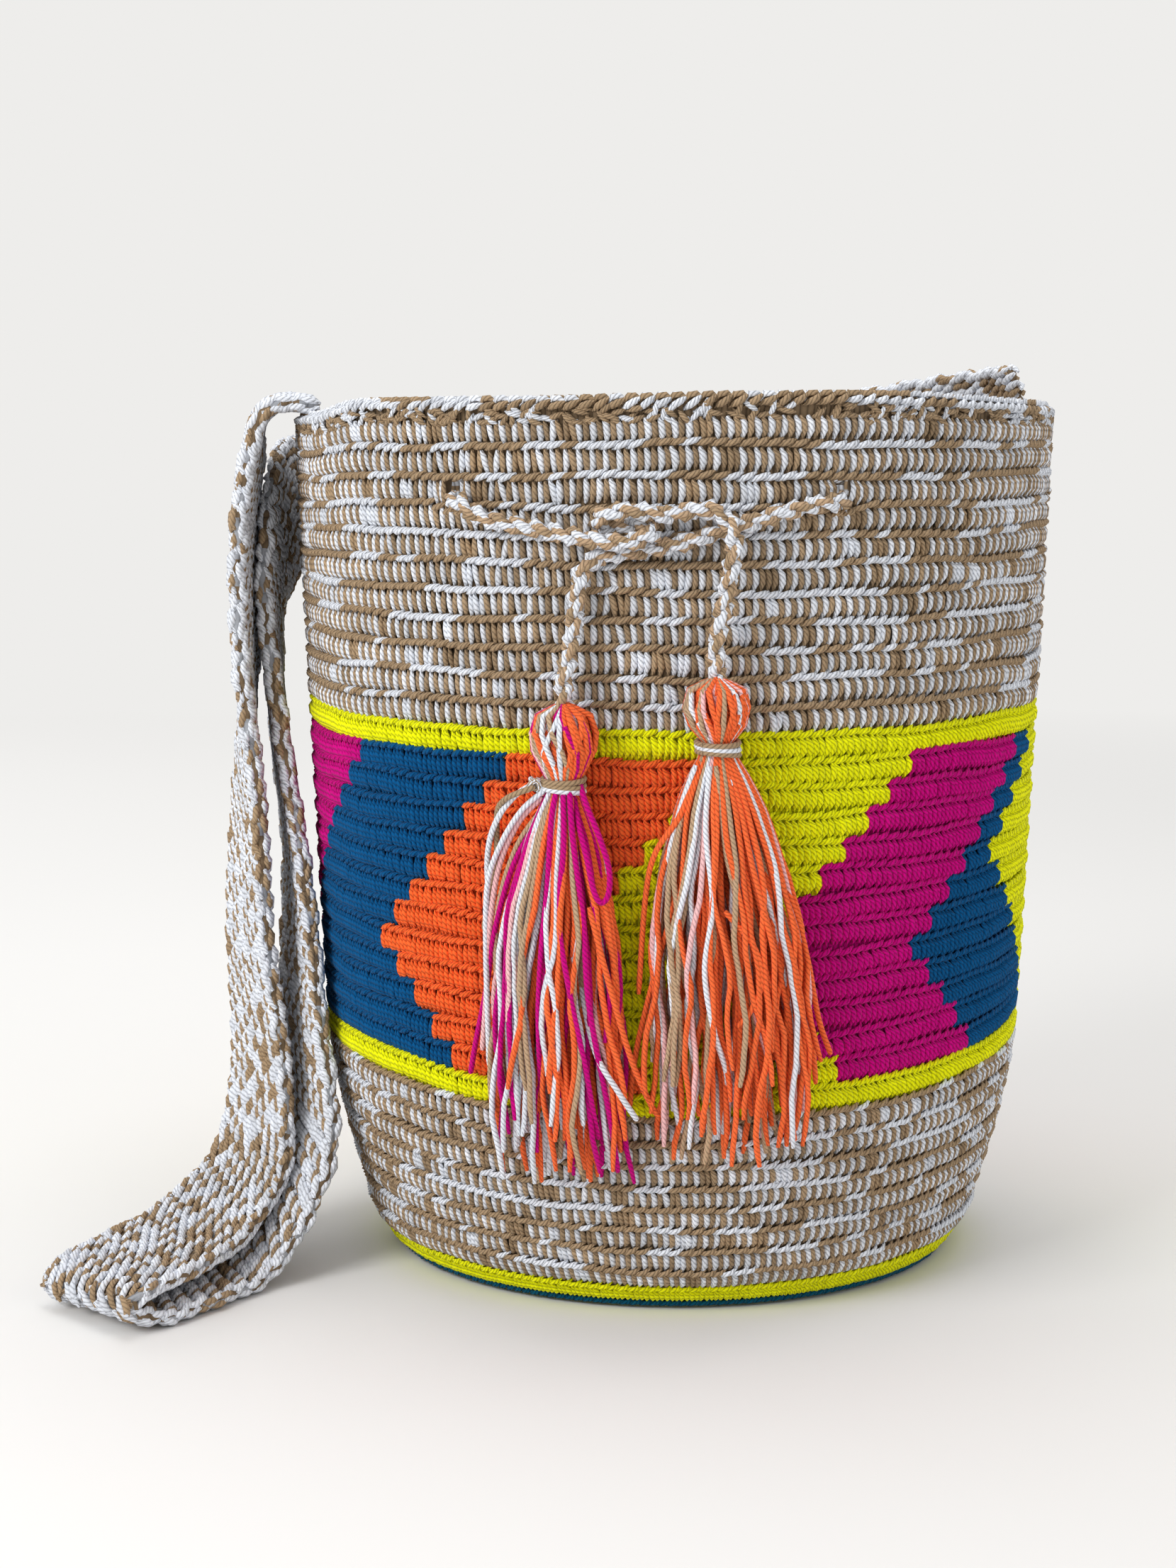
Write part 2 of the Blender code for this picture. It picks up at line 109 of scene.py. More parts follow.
bag = {
    "height": 0.2745,
    "baseRadius": 0.088,
    "heelHeight": 0.020,
    "heelRadius": 0.1005,
    "bellyHeight": 0.077,
    "bellyRadius": 0.1128,
    "rimRadius": 0.1208,
    "curves": (1.8, 1.5, 1.2),  # of the heel, the belly and the upper wall
    "wall": 0.0045,
    "floor": 0.005,
    "frontSag": 0.007,
    "sagHeight": 0.075,
    "sagSpread": 0.055,
    "rimDip": 0.004,
    "seamAngles": (-84.0, -252.0),
    "dipHalfAngle": 15.0,
    "dipFadeAngle": 18.0,
    "dipDepth": 0.06,
    "rimLift": 0.0026,
    "rimWave": 0.25,  # share of the lift that goes up and down round the rim
    "liftAngle": 8.0,
    "liftFrom": 0.243,
    "liftOver": 0.03,
    "eyeletAngles": (22.5, 104.0, 148.0, 200.0, 244.0, 326.0),
    "eyeletDrop": 0.0285,
}


def wallRadius(height):
    # three curved stretches, one above the other
    height = np.asarray(height, float)
    radius = reached = bag["baseRadius"]
    start = 0
    tops = (bag["heelHeight"], bag["bellyHeight"], bag["height"])
    reaches = (bag["heelRadius"], bag["bellyRadius"], bag["rimRadius"])
    for top, reach, curve in zip(tops, reaches, bag["curves"]):
        share = np.clip((height - start) / (top - start), 0, 1)
        stretch = reached + (reach - reached) * (1 - (1 - share) ** curve)
        radius = np.where(height < start, radius, stretch)
        start, reached = top, reach
    return radius


def smooth(value):
    value = np.clip(value, 0, 1)
    return value * value * (3 - 2 * value)


def apart(angle, other):
    return np.abs((angle - other + 180) % 360 - 180)


def fromEyelet(angle):
    return np.min([apart(angle, eyelet) for eyelet in bag["eyeletAngles"]], axis=0)


def bell(value, middle, spread):
    return np.exp(-(((value - middle) / spread) ** 2))


def frontness(angle):
    return np.maximum(np.cos(np.radians(angle)), 0) ** 2


def droop(angle, height):
    # how far the soft wall settles under its own weight and under the strap
    sag = bag["frontSag"] * frontness(angle) * bell(height, bag["sagHeight"], bag["sagSpread"])
    sag = sag * smooth(height / bag["heelHeight"])
    near = np.minimum(*(apart(angle, seam) for seam in bag["seamAngles"]))
    dip = bag["rimDip"] * (1 - smooth((near - bag["dipHalfAngle"]) / bag["dipFadeAngle"]))
    dip = dip * smooth((height - bag["height"] + bag["dipDepth"]) / bag["dipDepth"])
    lift = frontness(angle - bag["liftAngle"]) + bag["rimWave"] * np.sin(np.radians(4 * angle))
    return sag + dip - bag["rimLift"] * lift * smooth((height - bag["liftFrom"]) / bag["liftOver"])


def onWall(angle, height, out=0.0, soft=False):
    angle, height, out = np.broadcast_arrays(*(np.asarray(v, float) for v in (angle, height, out)))
    turn = np.radians(angle)
    radius = wallRadius(height) + out
    level = height - droop(angle, height) if soft else height
    return np.stack([radius * np.sin(turn), -radius * np.cos(turn), level], -1)


def unit(vectors):
    return vectors / np.linalg.norm(vectors, axis=-1, keepdims=True)


def curvePoints(stations, positions):
    # points of the smooth curve through the stations, at positions counted in stations
    stations = np.asarray(stations, float)
    index = np.clip(positions.astype(int), 0, len(stations) - 2)
    share = (positions - index)[:, None]
    before, start = stations[np.maximum(index - 1, 0)], stations[index]
    end, after = stations[index + 1], stations[np.minimum(index + 2, len(stations) - 1)]
    return 0.5 * (
        2 * start
        + (end - before) * share
        + (2 * before - 5 * start + 4 * end - after) * share**2
        + (3 * start - before - 3 * end + after) * share**3
    )


def lengthsAlong(points):
    return np.concatenate([[0], np.cumsum(np.linalg.norm(np.diff(points, axis=0), axis=1))])


def pointsAt(at, lengths, points):
    return np.stack([np.interp(at, lengths, points[:, axis]) for axis in range(3)], -1)


def resample(points, step):
    # the same line with its points an even step apart
    lengths = lengthsAlong(points)
    at = np.linspace(0, lengths[-1], max(round(lengths[-1] / step), 2) + 1)
    return pointsAt(at, lengths, points), at


def travelFrames(points):
    # two directions across a line, carried along it without twisting
    along = unit(np.gradient(points, axis=0))
    first = np.cross(along[0], (0, 0, 1))
    if np.linalg.norm(first) < 0.1:
        first = np.cross(along[0], (0, 1, 0))
    sides = [unit(first)]
    for ahead in along[1:]:
        side = sides[-1] - ahead * np.dot(sides[-1], ahead)
        sides.append(unit(side))
    sides = np.array(sides)
    return sides, np.cross(along, sides)


# Node graphs, for the yarn's geometry and for the materials


class Wire:
    # one output socket, which takes part in Python's sums
    def __init__(self, graph, node, socket):
        self.graph, self.source, self.socket = graph, node, socket

    def of(self, name):
        return Wire(self.graph, self.source, self.graph.find(self.source.outputs, name))

    def maths(self, operation, *others):
        return self.graph.node("ShaderNodeMath", dict(enumerate((self, *others))), operation=operation)

    def __add__(self, other):
        return self.maths("ADD", other)

    def __mul__(self, other):
        return self.maths("MULTIPLY", other)

    def __sub__(self, other):
        return self.maths("SUBTRACT", other)

    def __rsub__(self, other):
        return self * -1.0 + other

    def __truediv__(self, other):
        return self.maths("DIVIDE", other)

    def __pow__(self, other):
        return self.maths("POWER", other)

    __radd__ = __add__
    __rmul__ = __mul__

    def sine(self):
        return self.maths("SINE")

    def size(self):
        return self.maths("ABSOLUTE")

    def turn(self):
        # a vector's angle round Z
        split = self.graph.node("ShaderNodeSeparateXYZ", {"Vector": self})
        return split.of("Y").maths("ARCTAN2", split.of("X"))

    def clamped(self):
        return self.graph.node("ShaderNodeClamp", {"Value": self})


class Graph:
    def __init__(self, tree):
        self.tree = tree

    def find(self, sockets, key):
        if isinstance(key, int):
            return sockets[key]
        return next(s for s in sockets if s.enabled and key in (s.name, s.identifier))

    def join(self, value, socket):
        if isinstance(value, Wire):
            self.tree.links.new(value.socket, socket)
        else:
            socket.default_value = value

    def node(self, kind, inputs=None, **settings):
        made = self.tree.nodes.new(kind)
        for name, value in settings.items():
            setattr(made, name, value)
        for key, value in (inputs or {}).items():
            self.join(value, self.find(made.inputs, key))
        outputs = [s for s in made.outputs if s.enabled]
        return Wire(self, made, outputs[0] if outputs else None)

    def named(self, name, kind="FLOAT"):
        return self.node("GeometryNodeInputNamedAttribute", {"Name": name}, data_type=kind)

    def noted(self, geometry, name, value, kind="FLOAT"):
        inputs = {"Geometry": geometry, "Name": name, "Value": value}
        return self.node("GeometryNodeStoreNamedAttribute", inputs, data_type=kind)

    def painted(self, name, output="Fac"):
        return self.node("ShaderNodeAttribute", attribute_name=name).of(output)

    def noise(self, spot, scale, detail):
        return self.node("ShaderNodeTexNoise", {"Vector": spot, "Scale": scale, "Detail": detail})

    def mixed(self, factor, first, second):
        return self.node("ShaderNodeMix", {"Factor": factor, "A": first, "B": second}, data_type="RGBA")


socketKinds = {tuple: "NodeSocketVector", float: "NodeSocketFloat", int: "NodeSocketInt"}


def newTree(name, values):
    # an empty geometry tree, with an input for each value and one for the material
    tree = bpy.data.node_groups.new(name, "GeometryNodeTree")
    inputs = {label: socketKinds[type(value)] for label, value in values.items()}
    inputs = {"Geometry": "NodeSocketGeometry", **inputs, "Material": "NodeSocketMaterial"}
    for label, kind in inputs.items():
        tree.interface.new_socket(label, in_out="INPUT", socket_type=kind)
    tree.interface.new_socket("Geometry", in_out="OUTPUT", socket_type="NodeSocketGeometry")
    graph = Graph(tree)
    return graph, graph.node("NodeGroupInput")


def yarnTube(graph, line, radius, sides):
    # a closed tube of yarn, which knows how far along and how far round it each point is
    ring = graph.node("GeometryNodeCurvePrimitiveCircle", {"Resolution": sides, "Radius": 1.0})
    ring = graph.noted(ring, "around", graph.node("GeometryNodeInputPosition"), "FLOAT_VECTOR")
    line = graph.noted(line, "along", graph.node("GeometryNodeSplineParameter").of("Length"))
    inputs = {"Curve": line, "Profile Curve": ring, "Scale": radius, "Fill Caps": True}
    tube = graph.node("GeometryNodeCurveToMesh", inputs)
    return graph.node("GeometryNodeSetShadeSmooth", {"Geometry": tube, "Shade Smooth": True})


def finishTree(graph, source, geometry):
    whole = graph.node("GeometryNodeRealizeInstances", {"Geometry": geometry})
    whole = graph.node("GeometryNodeSetMaterial", {"Geometry": whole, "Material": source.of("Material")})
    graph.node("NodeGroupOutput", {"Geometry": whole})
    return graph.tree


def stitchTree(values):
    # yarn set on points: kind 0 is an upright, kind 1 lies along its row
    graph, source = newTree("stitches", values)
    both = graph.node("GeometryNodeJoinGeometry")
    for number, kind in ((1, "Lying"), (0, "Upright")):
        ends = {end: source.of(f"{kind} {end.lower()}") for end in ("Start", "Middle", "End")}
        ends["Resolution"] = source.of(f"{kind} steps")
        line = graph.node("GeometryNodeCurveQuadraticBezier", ends)
        share = graph.node("GeometryNodeSplineParameter").of("Factor")
        swell = (share * (1 - share) * 4.0).maths("MAXIMUM", 0.0) ** 0.5
        low = source.of("End share")
        radius = (low + (1 - low) * swell) * source.of(f"{kind} radius")
        test = {"A": graph.named("kind"), "B": float(number), "Epsilon": 0.1}
        inputs = {
            "Points": source.of("Geometry"),
            "Selection": graph.node("FunctionNodeCompare", test, data_type="FLOAT", operation="EQUAL"),
            "Instance": yarnTube(graph, line, radius, source.of("Sides")),
            "Rotation": graph.named("turn", "FLOAT_VECTOR"),
            "Scale": graph.named("size", "FLOAT_VECTOR"),
        }
        graph.join(graph.node("GeometryNodeInstanceOnPoints", inputs), both.source.inputs[0])
    return finishTree(graph, source, both)


def lineTree(values):
    # yarn that follows lines of edges, as thick as each point says
    graph, source = newTree("yarnLines", values)
    lines = graph.node("GeometryNodeMeshToCurve", {"Mesh": source.of("Geometry")})
    tube = yarnTube(graph, lines, graph.named("thick"), source.of("Sides"))
    return finishTree(graph, source, tube)


lineNodes = lineTree({"Sides": 5})
fieldOf = {"FLOAT": "value", "FLOAT_VECTOR": "vector", "FLOAT_COLOR": "color"}


def store(mesh, name, kind, domain, values):
    attribute = mesh.attributes.new(name, kind, domain)
    attribute.data.foreach_set(fieldOf[kind], np.ascontiguousarray(values, np.float32).ravel())


def dye(mesh, domain, colours):
    # the yarn's own colour, which its material reads
    store(mesh, "yarn", "FLOAT_COLOR", domain, np.concatenate([colours, np.ones((len(colours), 1))], -1))


def addPiece(name, mesh):
    piece = bpy.data.objects.new(name, mesh)
    bpy.context.scene.collection.objects.link(piece)
    return piece


def grow(mesh, tree, inputs):
    # run a tree on a mesh and keep the result as a plain mesh
    name = mesh.name
    piece = addPiece(name, mesh)
    modifier = piece.modifiers.new("grow", "NODES")
    modifier.node_group = tree
    sockets = {s.name: s.identifier for s in tree.interface.items_tree if s.in_out == "INPUT"}
    for label, value in inputs.items():
        modifier[sockets[label]] = value
    graph = bpy.context.evaluated_depsgraph_get()
    evaluated = piece.evaluated_get(graph)
    grown = bpy.data.meshes.new_from_object(evaluated, preserve_all_data_layers=True, depsgraph=graph)
    piece.modifiers.clear()
    piece.data = grown
    for spare in ("turn", "size", "kind", "thick"):
        if spare in grown.attributes:
            grown.attributes.remove(grown.attributes[spare])
    grown.name = name
    return piece


def finished(piece, node):
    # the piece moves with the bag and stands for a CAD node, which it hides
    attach(piece, "root")
    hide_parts(node)
    triangles = sum(len(p.vertices) - 2 for p in piece.data.polygons)
    print(f"{piece.name} made, {triangles} triangles")
    return piece


# Materials


def newMaterial(name):
    material = bpy.data.materials.new(name)
    material.use_nodes = True
    graph = Graph(material.node_tree)
    return material, graph, graph.tree.nodes["Principled BSDF"]


def plies(graph, looks, yarn, spot):
    # plies twisted into a yarn, with painted shade in the grooves between them and painted light on their
    # crests
    turns = graph.painted("around", "Vector").turn() * (0.5 * looks["plies"])
    turns = turns + graph.painted("along") * (math.pi * looks["plies"] / looks["pitch"])
    ply = turns.sine().size() ** looks["plyCurve"]
    return yarn, looks["plyCrestLight"] - looks["paintedGrooveShade"] + ply * looks["paintedGrooveShade"], ply * looks["plyRelief"]


def loops(graph, looks, yarn, spot):
    # cloth of loops in rows, with painted shade in the furrows between its strands; between a marled row's
    # ridges, strands of two colours take turns
    slip = graph.noise(spot, looks["slipScale"], 1.0) * looks["slip"]
    strands = (spot.turn() * (0.5 * looks["stitches"]) + slip).sine()
    ridge = graph.painted("ridge")
    # the strands between the ridges are darkened by the share 'between', a painted shade in the hollows
    first, second = ((*yarnColours[name] * looks["between"], 1) for name in ("tan", "white"))
    posts = graph.mixed((strands * looks["postEdge"] + 0.5).clamped(), first, second)
    low = 1 - looks["ridgeShare"]
    between = graph.painted("marled") * ((low - ridge) * looks["ridgeEdge"]).clamped()
    height = strands.size() ** looks["loopCurve"] * (ridge * looks["ridgeShare"] + low)
    # painted shade: darker where the loops lie low
    return graph.mixed(between, yarn, posts), looks["paintedFurrowShade"] + height * looks["paintedGrooveShade"], height


def yarnMaterial(name, weave, looks):
    # the mesh's own colour with the weave's painted shade and relief, and a fine fuzz over both
    material, graph, shader = newMaterial(name)
    spot = graph.node("ShaderNodeTexCoord").of("Object")
    fibre = graph.noise(spot, looks["fuzzScale"], 3.0)
    yarn, shade, height = weave(graph, looks, graph.painted("yarn", "Color"), spot)
    shade = shade * (fibre * looks["fuzz"] + (1 - 0.5 * looks["fuzz"]))
    height = height + fibre * looks["fuzzRelief"]
    bump = {"Strength": 1.0, "Distance": looks["relief"], "Height": height}
    values = {
        "Base Color": graph.node("ShaderNodeVectorMath", {"Vector": yarn, "Scale": shade}, operation="SCALE"),
        "Normal": graph.node("ShaderNodeBump", bump),
        "Roughness": looks["roughness"],
        "Specular IOR Level": looks["specular"],
        "Sheen Weight": looks["sheen"],
        "Sheen Roughness": looks["sheenRoughness"],
    }
    for label, value in values.items():
        graph.join(value, shader.inputs[label])
    return material


yarnLooks = {
    "plies": 3,
    "pitch": 0.0048,
    "plyCurve": 0.6,
    "plyRelief": 0.8,
    # painted light on the plies' crests and painted shade in the grooves between them, as shares of the
    # yarn's colour
    "plyCrestLight": 1.06,
    "paintedGrooveShade": 0.50,
    "fuzz": 0.22,
    "fuzzScale": 1400.0,
    "fuzzRelief": 0.4,
    "relief": 0.00035,
    "roughness": 0.88,
    "specular": 0.12,
    "sheen": 0.05,
    "sheenRoughness": 0.5,
}
clothLooks = {
    "stitches": 384,
    "slip": 6.0,
    "slipScale": 60.0,
    # painted shade on the strands that lie lower, between two ridges
    "between": 0.78,  # brightness of the strands between two ridges
    "postEdge": 2.5,
    "loopCurve": 0.5,
    "ridgeShare": 0.3,
    "ridgeEdge": 5.0,
    # painted shade: the share of the colour kept in the furrows, and what the loops' tops add to it
    "paintedFurrowShade": 0.60,
    "paintedGrooveShade": 0.42,
    "fuzz": 0.25,
    "fuzzScale": 900.0,
    "fuzzRelief": 0.3,
    "relief": 0.0009,
    "roughness": 0.92,
    "specular": 0.12,
    "sheen": 0.05,
    "sheenRoughness": 0.5,
}
wallYarn = yarnMaterial("wallYarn", plies, yarnLooks)
# less painted shade between the plies of the strap's and the tassels' yarn
strapYarn = yarnMaterial("strapYarn", plies, dict(yarnLooks, paintedGrooveShade=0.36))
cordYarn = yarnMaterial("cordYarn", plies, yarnLooks)
tasselYarn = yarnMaterial("tasselYarn", plies, dict(yarnLooks, paintedGrooveShade=0.40))
tieYarn = yarnMaterial("tieYarn", plies, yarnLooks)
backingCloth = yarnMaterial("backingCloth", loops, clothLooks)
strapCloth = yarnMaterial("strapCloth", loops, clothLooks)
print("materials made")


def eulerOf(across, along, out):
    # turns that bring x, y and z onto the three directions
    first = np.arctan2(along[:, 2], out[:, 2])
    second = -np.arcsin(np.clip(across[:, 2], -1, 1))
    return np.stack([first, second, np.arctan2(across[:, 1], across[:, 0])], -1)


def pointMesh(name, points):
    mesh = bpy.data.meshes.new(name)
    mesh.vertices.add(len(points))
    mesh.vertices.foreach_set("co", points.astype(np.float32).ravel())
    return mesh


class Stitches:
    # gathers points, their frames and colours until a tree turns them into yarn
    def __init__(self):
        self.parts = []

    def add(self, points, frame, colours, kind, size=(1, 1, 1), roll=0.0):
        across, along, out = frame
        roll = np.broadcast_to(np.asarray(roll, float), len(points))[:, None]
        rolled = across * np.cos(roll) + along * np.sin(roll)
        along = along * np.cos(roll) - across * np.sin(roll)
        sizes = np.broadcast_to(np.asarray(size, float), (len(points), 3))
        kinds = np.full(len(points), float(kind))
        self.parts.append((points, eulerOf(rolled, along, out), sizes, kinds, colours))

    def grown(self, name, stitch, material):
        points, turns, sizes, kinds, colours = (np.concatenate(c) for c in zip(*self.parts))
        mesh = pointMesh(name, points)
        store(mesh, "turn", "FLOAT_VECTOR", "POINT", turns)
        store(mesh, "size", "FLOAT_VECTOR", "POINT", sizes)
        store(mesh, "kind", "FLOAT", "POINT", kinds)
        dye(mesh, "POINT", colours)
        return grow(mesh, stitchNodes, dict(stitch, Material=material))


def growLines(name, lines, sides, material):
    # yarn along lines, given as (points, one colour, thickness)
    mesh = pointMesh(name, np.concatenate([points for points, colour, thick in lines]))
    lasts = np.cumsum([len(points) for points, colour, thick in lines]) - 1
    firsts = np.setdiff1d(np.arange(len(mesh.vertices)), lasts)
    mesh.edges.add(len(firsts))
    mesh.edges.foreach_set("vertices", np.stack([firsts, firsts + 1], -1).astype(np.int32).ravel())
    dye(mesh, "POINT", np.concatenate([np.broadcast_to(c, (len(p), 3)) for p, c, t in lines]))
    thickness = np.concatenate([np.broadcast_to(t, len(p)) for p, c, t in lines])
    store(mesh, "thick", "FLOAT", "POINT", thickness)
    mesh.update()
    return grow(mesh, lineNodes, {"Sides": sides, "Material": material})


def tapered(count, thick, ends=0.7, over=1):
    # thickness along a strand that narrows over so many points at its two ends
    at = np.arange(count)
    share = np.minimum(np.minimum(at, count - 1 - at) / over, 1)
    return thick * (ends + (1 - ends) * share)


# Drawstring: its route repeats the CAD model's, as (angle, distance from the wall, drop below the top)

cord = {
    "diameter": 0.006,
    "spacing": 0.018,
    "clearance": 0.0003,
    "standoff": 0.0116,  # of the tassels' middles from the wall
    "slant": (0.5, 2.8),  # degrees to each side of an eyelet where the cord enters it
    "lip": 0.0012,
    "slack": (0.0005, 0.0006),  # past the clearance, outside and inside the wall
    "intoTassel": 0.034,
    "pitch": 0.0130,  # length of one turn of its two strands
    "strandPitch": 0.0075,
    "strandOffset": 0.00144,
    "yarnOffset": 0.00088,
    "yarnRadius": 0.00108,
    "step": 0.0024,
    "sides": 5,
    "yarns": (("white", "sand", "white"), ("tan", "white", "sand")),
}
tassels = {
    "left": {"angle": -15.4, "drop": 0.0856, "lean": -0.0050, "width": 1.0, "lift": 0.0035},
    "right": {"angle": 4.0, "drop": 0.0778, "lean": 0.0070, "width": 1.20, "lift": 0.0069},
}
rightLead = (
    (-15.4, 0.0113, 0.0785), (-15.1, 0.0095, 0.0740), (-14.7, 0.0075, 0.0665), (-14.2, 0.0066, 0.0566),
    (-13.3, 0.0062, 0.0470), (-10.9, 0.0052, 0.0434), (-7.5, 0.0045, 0.0422), (-3.4, 0.0042, 0.0410),
    (1.6, 0.0038, 0.0384), (6.7, 0.0038, 0.0352), (12.2, 0.0038, 0.0317), (18.0, 0.0038, 0.0290),
)
leftLead = (
    (-30.0, 0.0038, 0.0310), (-26.0, 0.0038, 0.0340), (-19.0, 0.0045, 0.0362), (-13.7, 0.0080, 0.0379),
    (-9.4, 0.0106, 0.0392), (-5.9, 0.0106, 0.0385), (-3.9, 0.0072, 0.0364), (-5.6, 0.0038, 0.0350),
    (-8.8, 0.0038, 0.0350), (-11.2, 0.0042, 0.0345), (-11.0, 0.0080, 0.0322), (-8.7, 0.0088, 0.0306),
    (-6.0, 0.0082, 0.0305), (-2.9, 0.0066, 0.0316), (-0.2, 0.0066, 0.0306), (2.9, 0.0076, 0.0299),
    (5.2, 0.0096, 0.0330), (6.1, 0.0106, 0.0392), (5.4, 0.0088, 0.0518), (4.6, 0.0085, 0.0608),
    (4.0, 0.0095, 0.0690), (4.0, 0.0113, 0.0735),
)


def throughEyelet(angle, going):
    near, far = cord["slant"]
    outside, inside = (cord["diameter"] / 2 + cord["clearance"] + slack for slack in cord["slack"])
    offsets = (-far, -near, near, far)
    reaches = (outside, cord["lip"], -bag["wall"] - cord["lip"], -bag["wall"] - inside)
    points = [(angle + going * a, reach, bag["eyeletDrop"]) for a, reach in zip(offsets, reaches)]
    return points if going > 0 else points[::-1]


def cordRoute():
    ends = [(t["angle"], cord["standoff"], t["drop"] - cord["clearance"]) for t in tassels.values()]
    route = [ends[0], *rightLead]
    for number, angle in enumerate(bag["eyeletAngles"]):
        route += throughEyelet(angle, 1 if number % 2 == 0 else -1)
    return route + [(angle + 360, standoff, drop) for angle, standoff, drop in (*leftLead, ends[1])]


def routeSpots(route):
    return onWall(route[:, 0], bag["height"] - route[:, 2], route[:, 1])


def cordPoints():
    route = np.array(cordRoute())
    spots = routeSpots(route)
    points = []
    for index in range(len(route) - 1):
        arc = math.radians(abs(route[index + 1, 0] - route[index, 0])) * bag["rimRadius"]
        reach = max(arc, np.linalg.norm(spots[index + 1] - spots[index]))
        count = max(math.ceil(reach / cord["spacing"] - 0.3), 1)
        shares = np.arange(count) / count
        if count > 2:
            stations = route[index] + (route[index + 1] - route[index]) * shares[:, None]
        else:
            stations = curvePoints(route, index + shares)
        points.append(routeSpots(stations))
    return np.concatenate([*points, spots[-1:]])


def wound(path, at, radius, pitch, start):
    # a line that winds round a path
    side, other = travelFrames(path)
    turn = (2 * math.pi * at / pitch + start)[:, None]
    return path + radius * (side * np.cos(turn) + other * np.sin(turn))


def makeDrawstring():
    points = cordPoints()
    down = np.array([[0, 0, -cord["intoTassel"]]])
    points = np.concatenate([points[:1] + down, points, points[-1:] + down])
    line = curvePoints(points, np.linspace(0, len(points) - 1, 12 * len(points)))
    path, at = resample(line, cord["step"])
    lines = []
    for strand, names in enumerate(cord["yarns"]):
        core = wound(path, at, cord["strandOffset"], cord["pitch"], math.pi * strand)
        for number, name in enumerate(names):
            start = 2 * math.pi * number / len(names) + strand
            yarn = wound(core, at, cord["yarnOffset"], -cord["strandPitch"], start)
            lines.append((yarn, yarnColours[name], tapered(len(yarn), cord["yarnRadius"], 0.3, 2)))
    piece = growLines("drawstring_cord", lines, cord["sides"], cordYarn)
    return finished(piece, "drawstring"), path, at[-1]


drawstring, cordPath, cordLength = makeDrawstring()
print(f"drawstring {cordLength:.3f} m long")


# Tassels

yarnBundle = {
    "outline": (  # down from the top of the head, half width, half depth
        (0.0000, 0.0040, 0.0040), (0.0030, 0.0084, 0.0080), (0.0090, 0.0102, 0.0098),
        (0.0160, 0.0096, 0.0092), (0.0215, 0.0070, 0.0068), (0.0240, 0.0048, 0.0048),
        (0.0290, 0.0048, 0.0048), (0.0310, 0.0062, 0.0058), (0.0420, 0.0110, 0.0080),
        (0.0600, 0.0158, 0.0098), (0.0850, 0.0196, 0.0108), (0.1150, 0.0212, 0.0108),
        (0.1480, 0.0216, 0.0100),
    ),
    "length": 0.128,
    "neck": (0.0240, 0.0290),
    "rings": ((1.0, 44), (0.76, 36), (0.50, 26)),  # share of the outline, strands
    "yarnRadius": 0.00090,
    "shortest": 0.112,
    "longest": 0.1465,
    "cutShare": 0.12,  # of the strands that are shorter still
    "cutOff": 0.018,
    "crown": ((-0.0004, 0.0008), (0.0008, 0.0030)),  # a strand's first two points: down, out
    "first": 0.0030,
    "step": 0.0050,
    "spacing": 0.3,  # how unevenly the strands stand round a ring
    "twist": 0.35,
    "headTwist": (0.25, 0.45),
    "sway": 0.0011,
    "crimpShare": 0.15,  # of the sway
    "swayOut": 0.5,  # of the sway to the side
    "waves": (0.035, 0.075),
    "crimp": 0.016,
    "stray": 0.0024,
    "fall": 0.0025,  # how far the ends fall back to the wall
    "gap": 0.0006,
    "turning": (0.03, 0.08),  # where a change down a strand starts, and over what length
    "loosening": (0.034, 0.05),
    "straying": (0.06, 0.07),
    "falling": (0.05, 0.07),
    "pinch": (0.35, 0.0265, 0.004),  # share lost under the tie, its place and its reach
    "thickness": (0.92, 1.08),
    "tints": (0.92, 1.06),
    "sides": 5,
    "seed": 11,
}
# shares of each colour at a tassel's left, middle and right
tasselColours = {
    "left": {
        "white": (0.34, 0.16, 0.06), "tan": (0.16, 0.07, 0.03), "pink": (0.16, 0.06, 0.03),
        "orange": (0.26, 0.36, 0.60), "magenta": (0.08, 0.35, 0.28),
    },
    "right": {
        "white": (0.16, 0.22, 0.12), "tan": (0.13, 0.10, 0.07), "pink": (0.12, 0.14, 0.08),
        "orange": (0.59, 0.54, 0.73),
    },
}
tasselShades = {"orange": "coral", "tan": "sand"}  # the tassels' own yarn is lighter
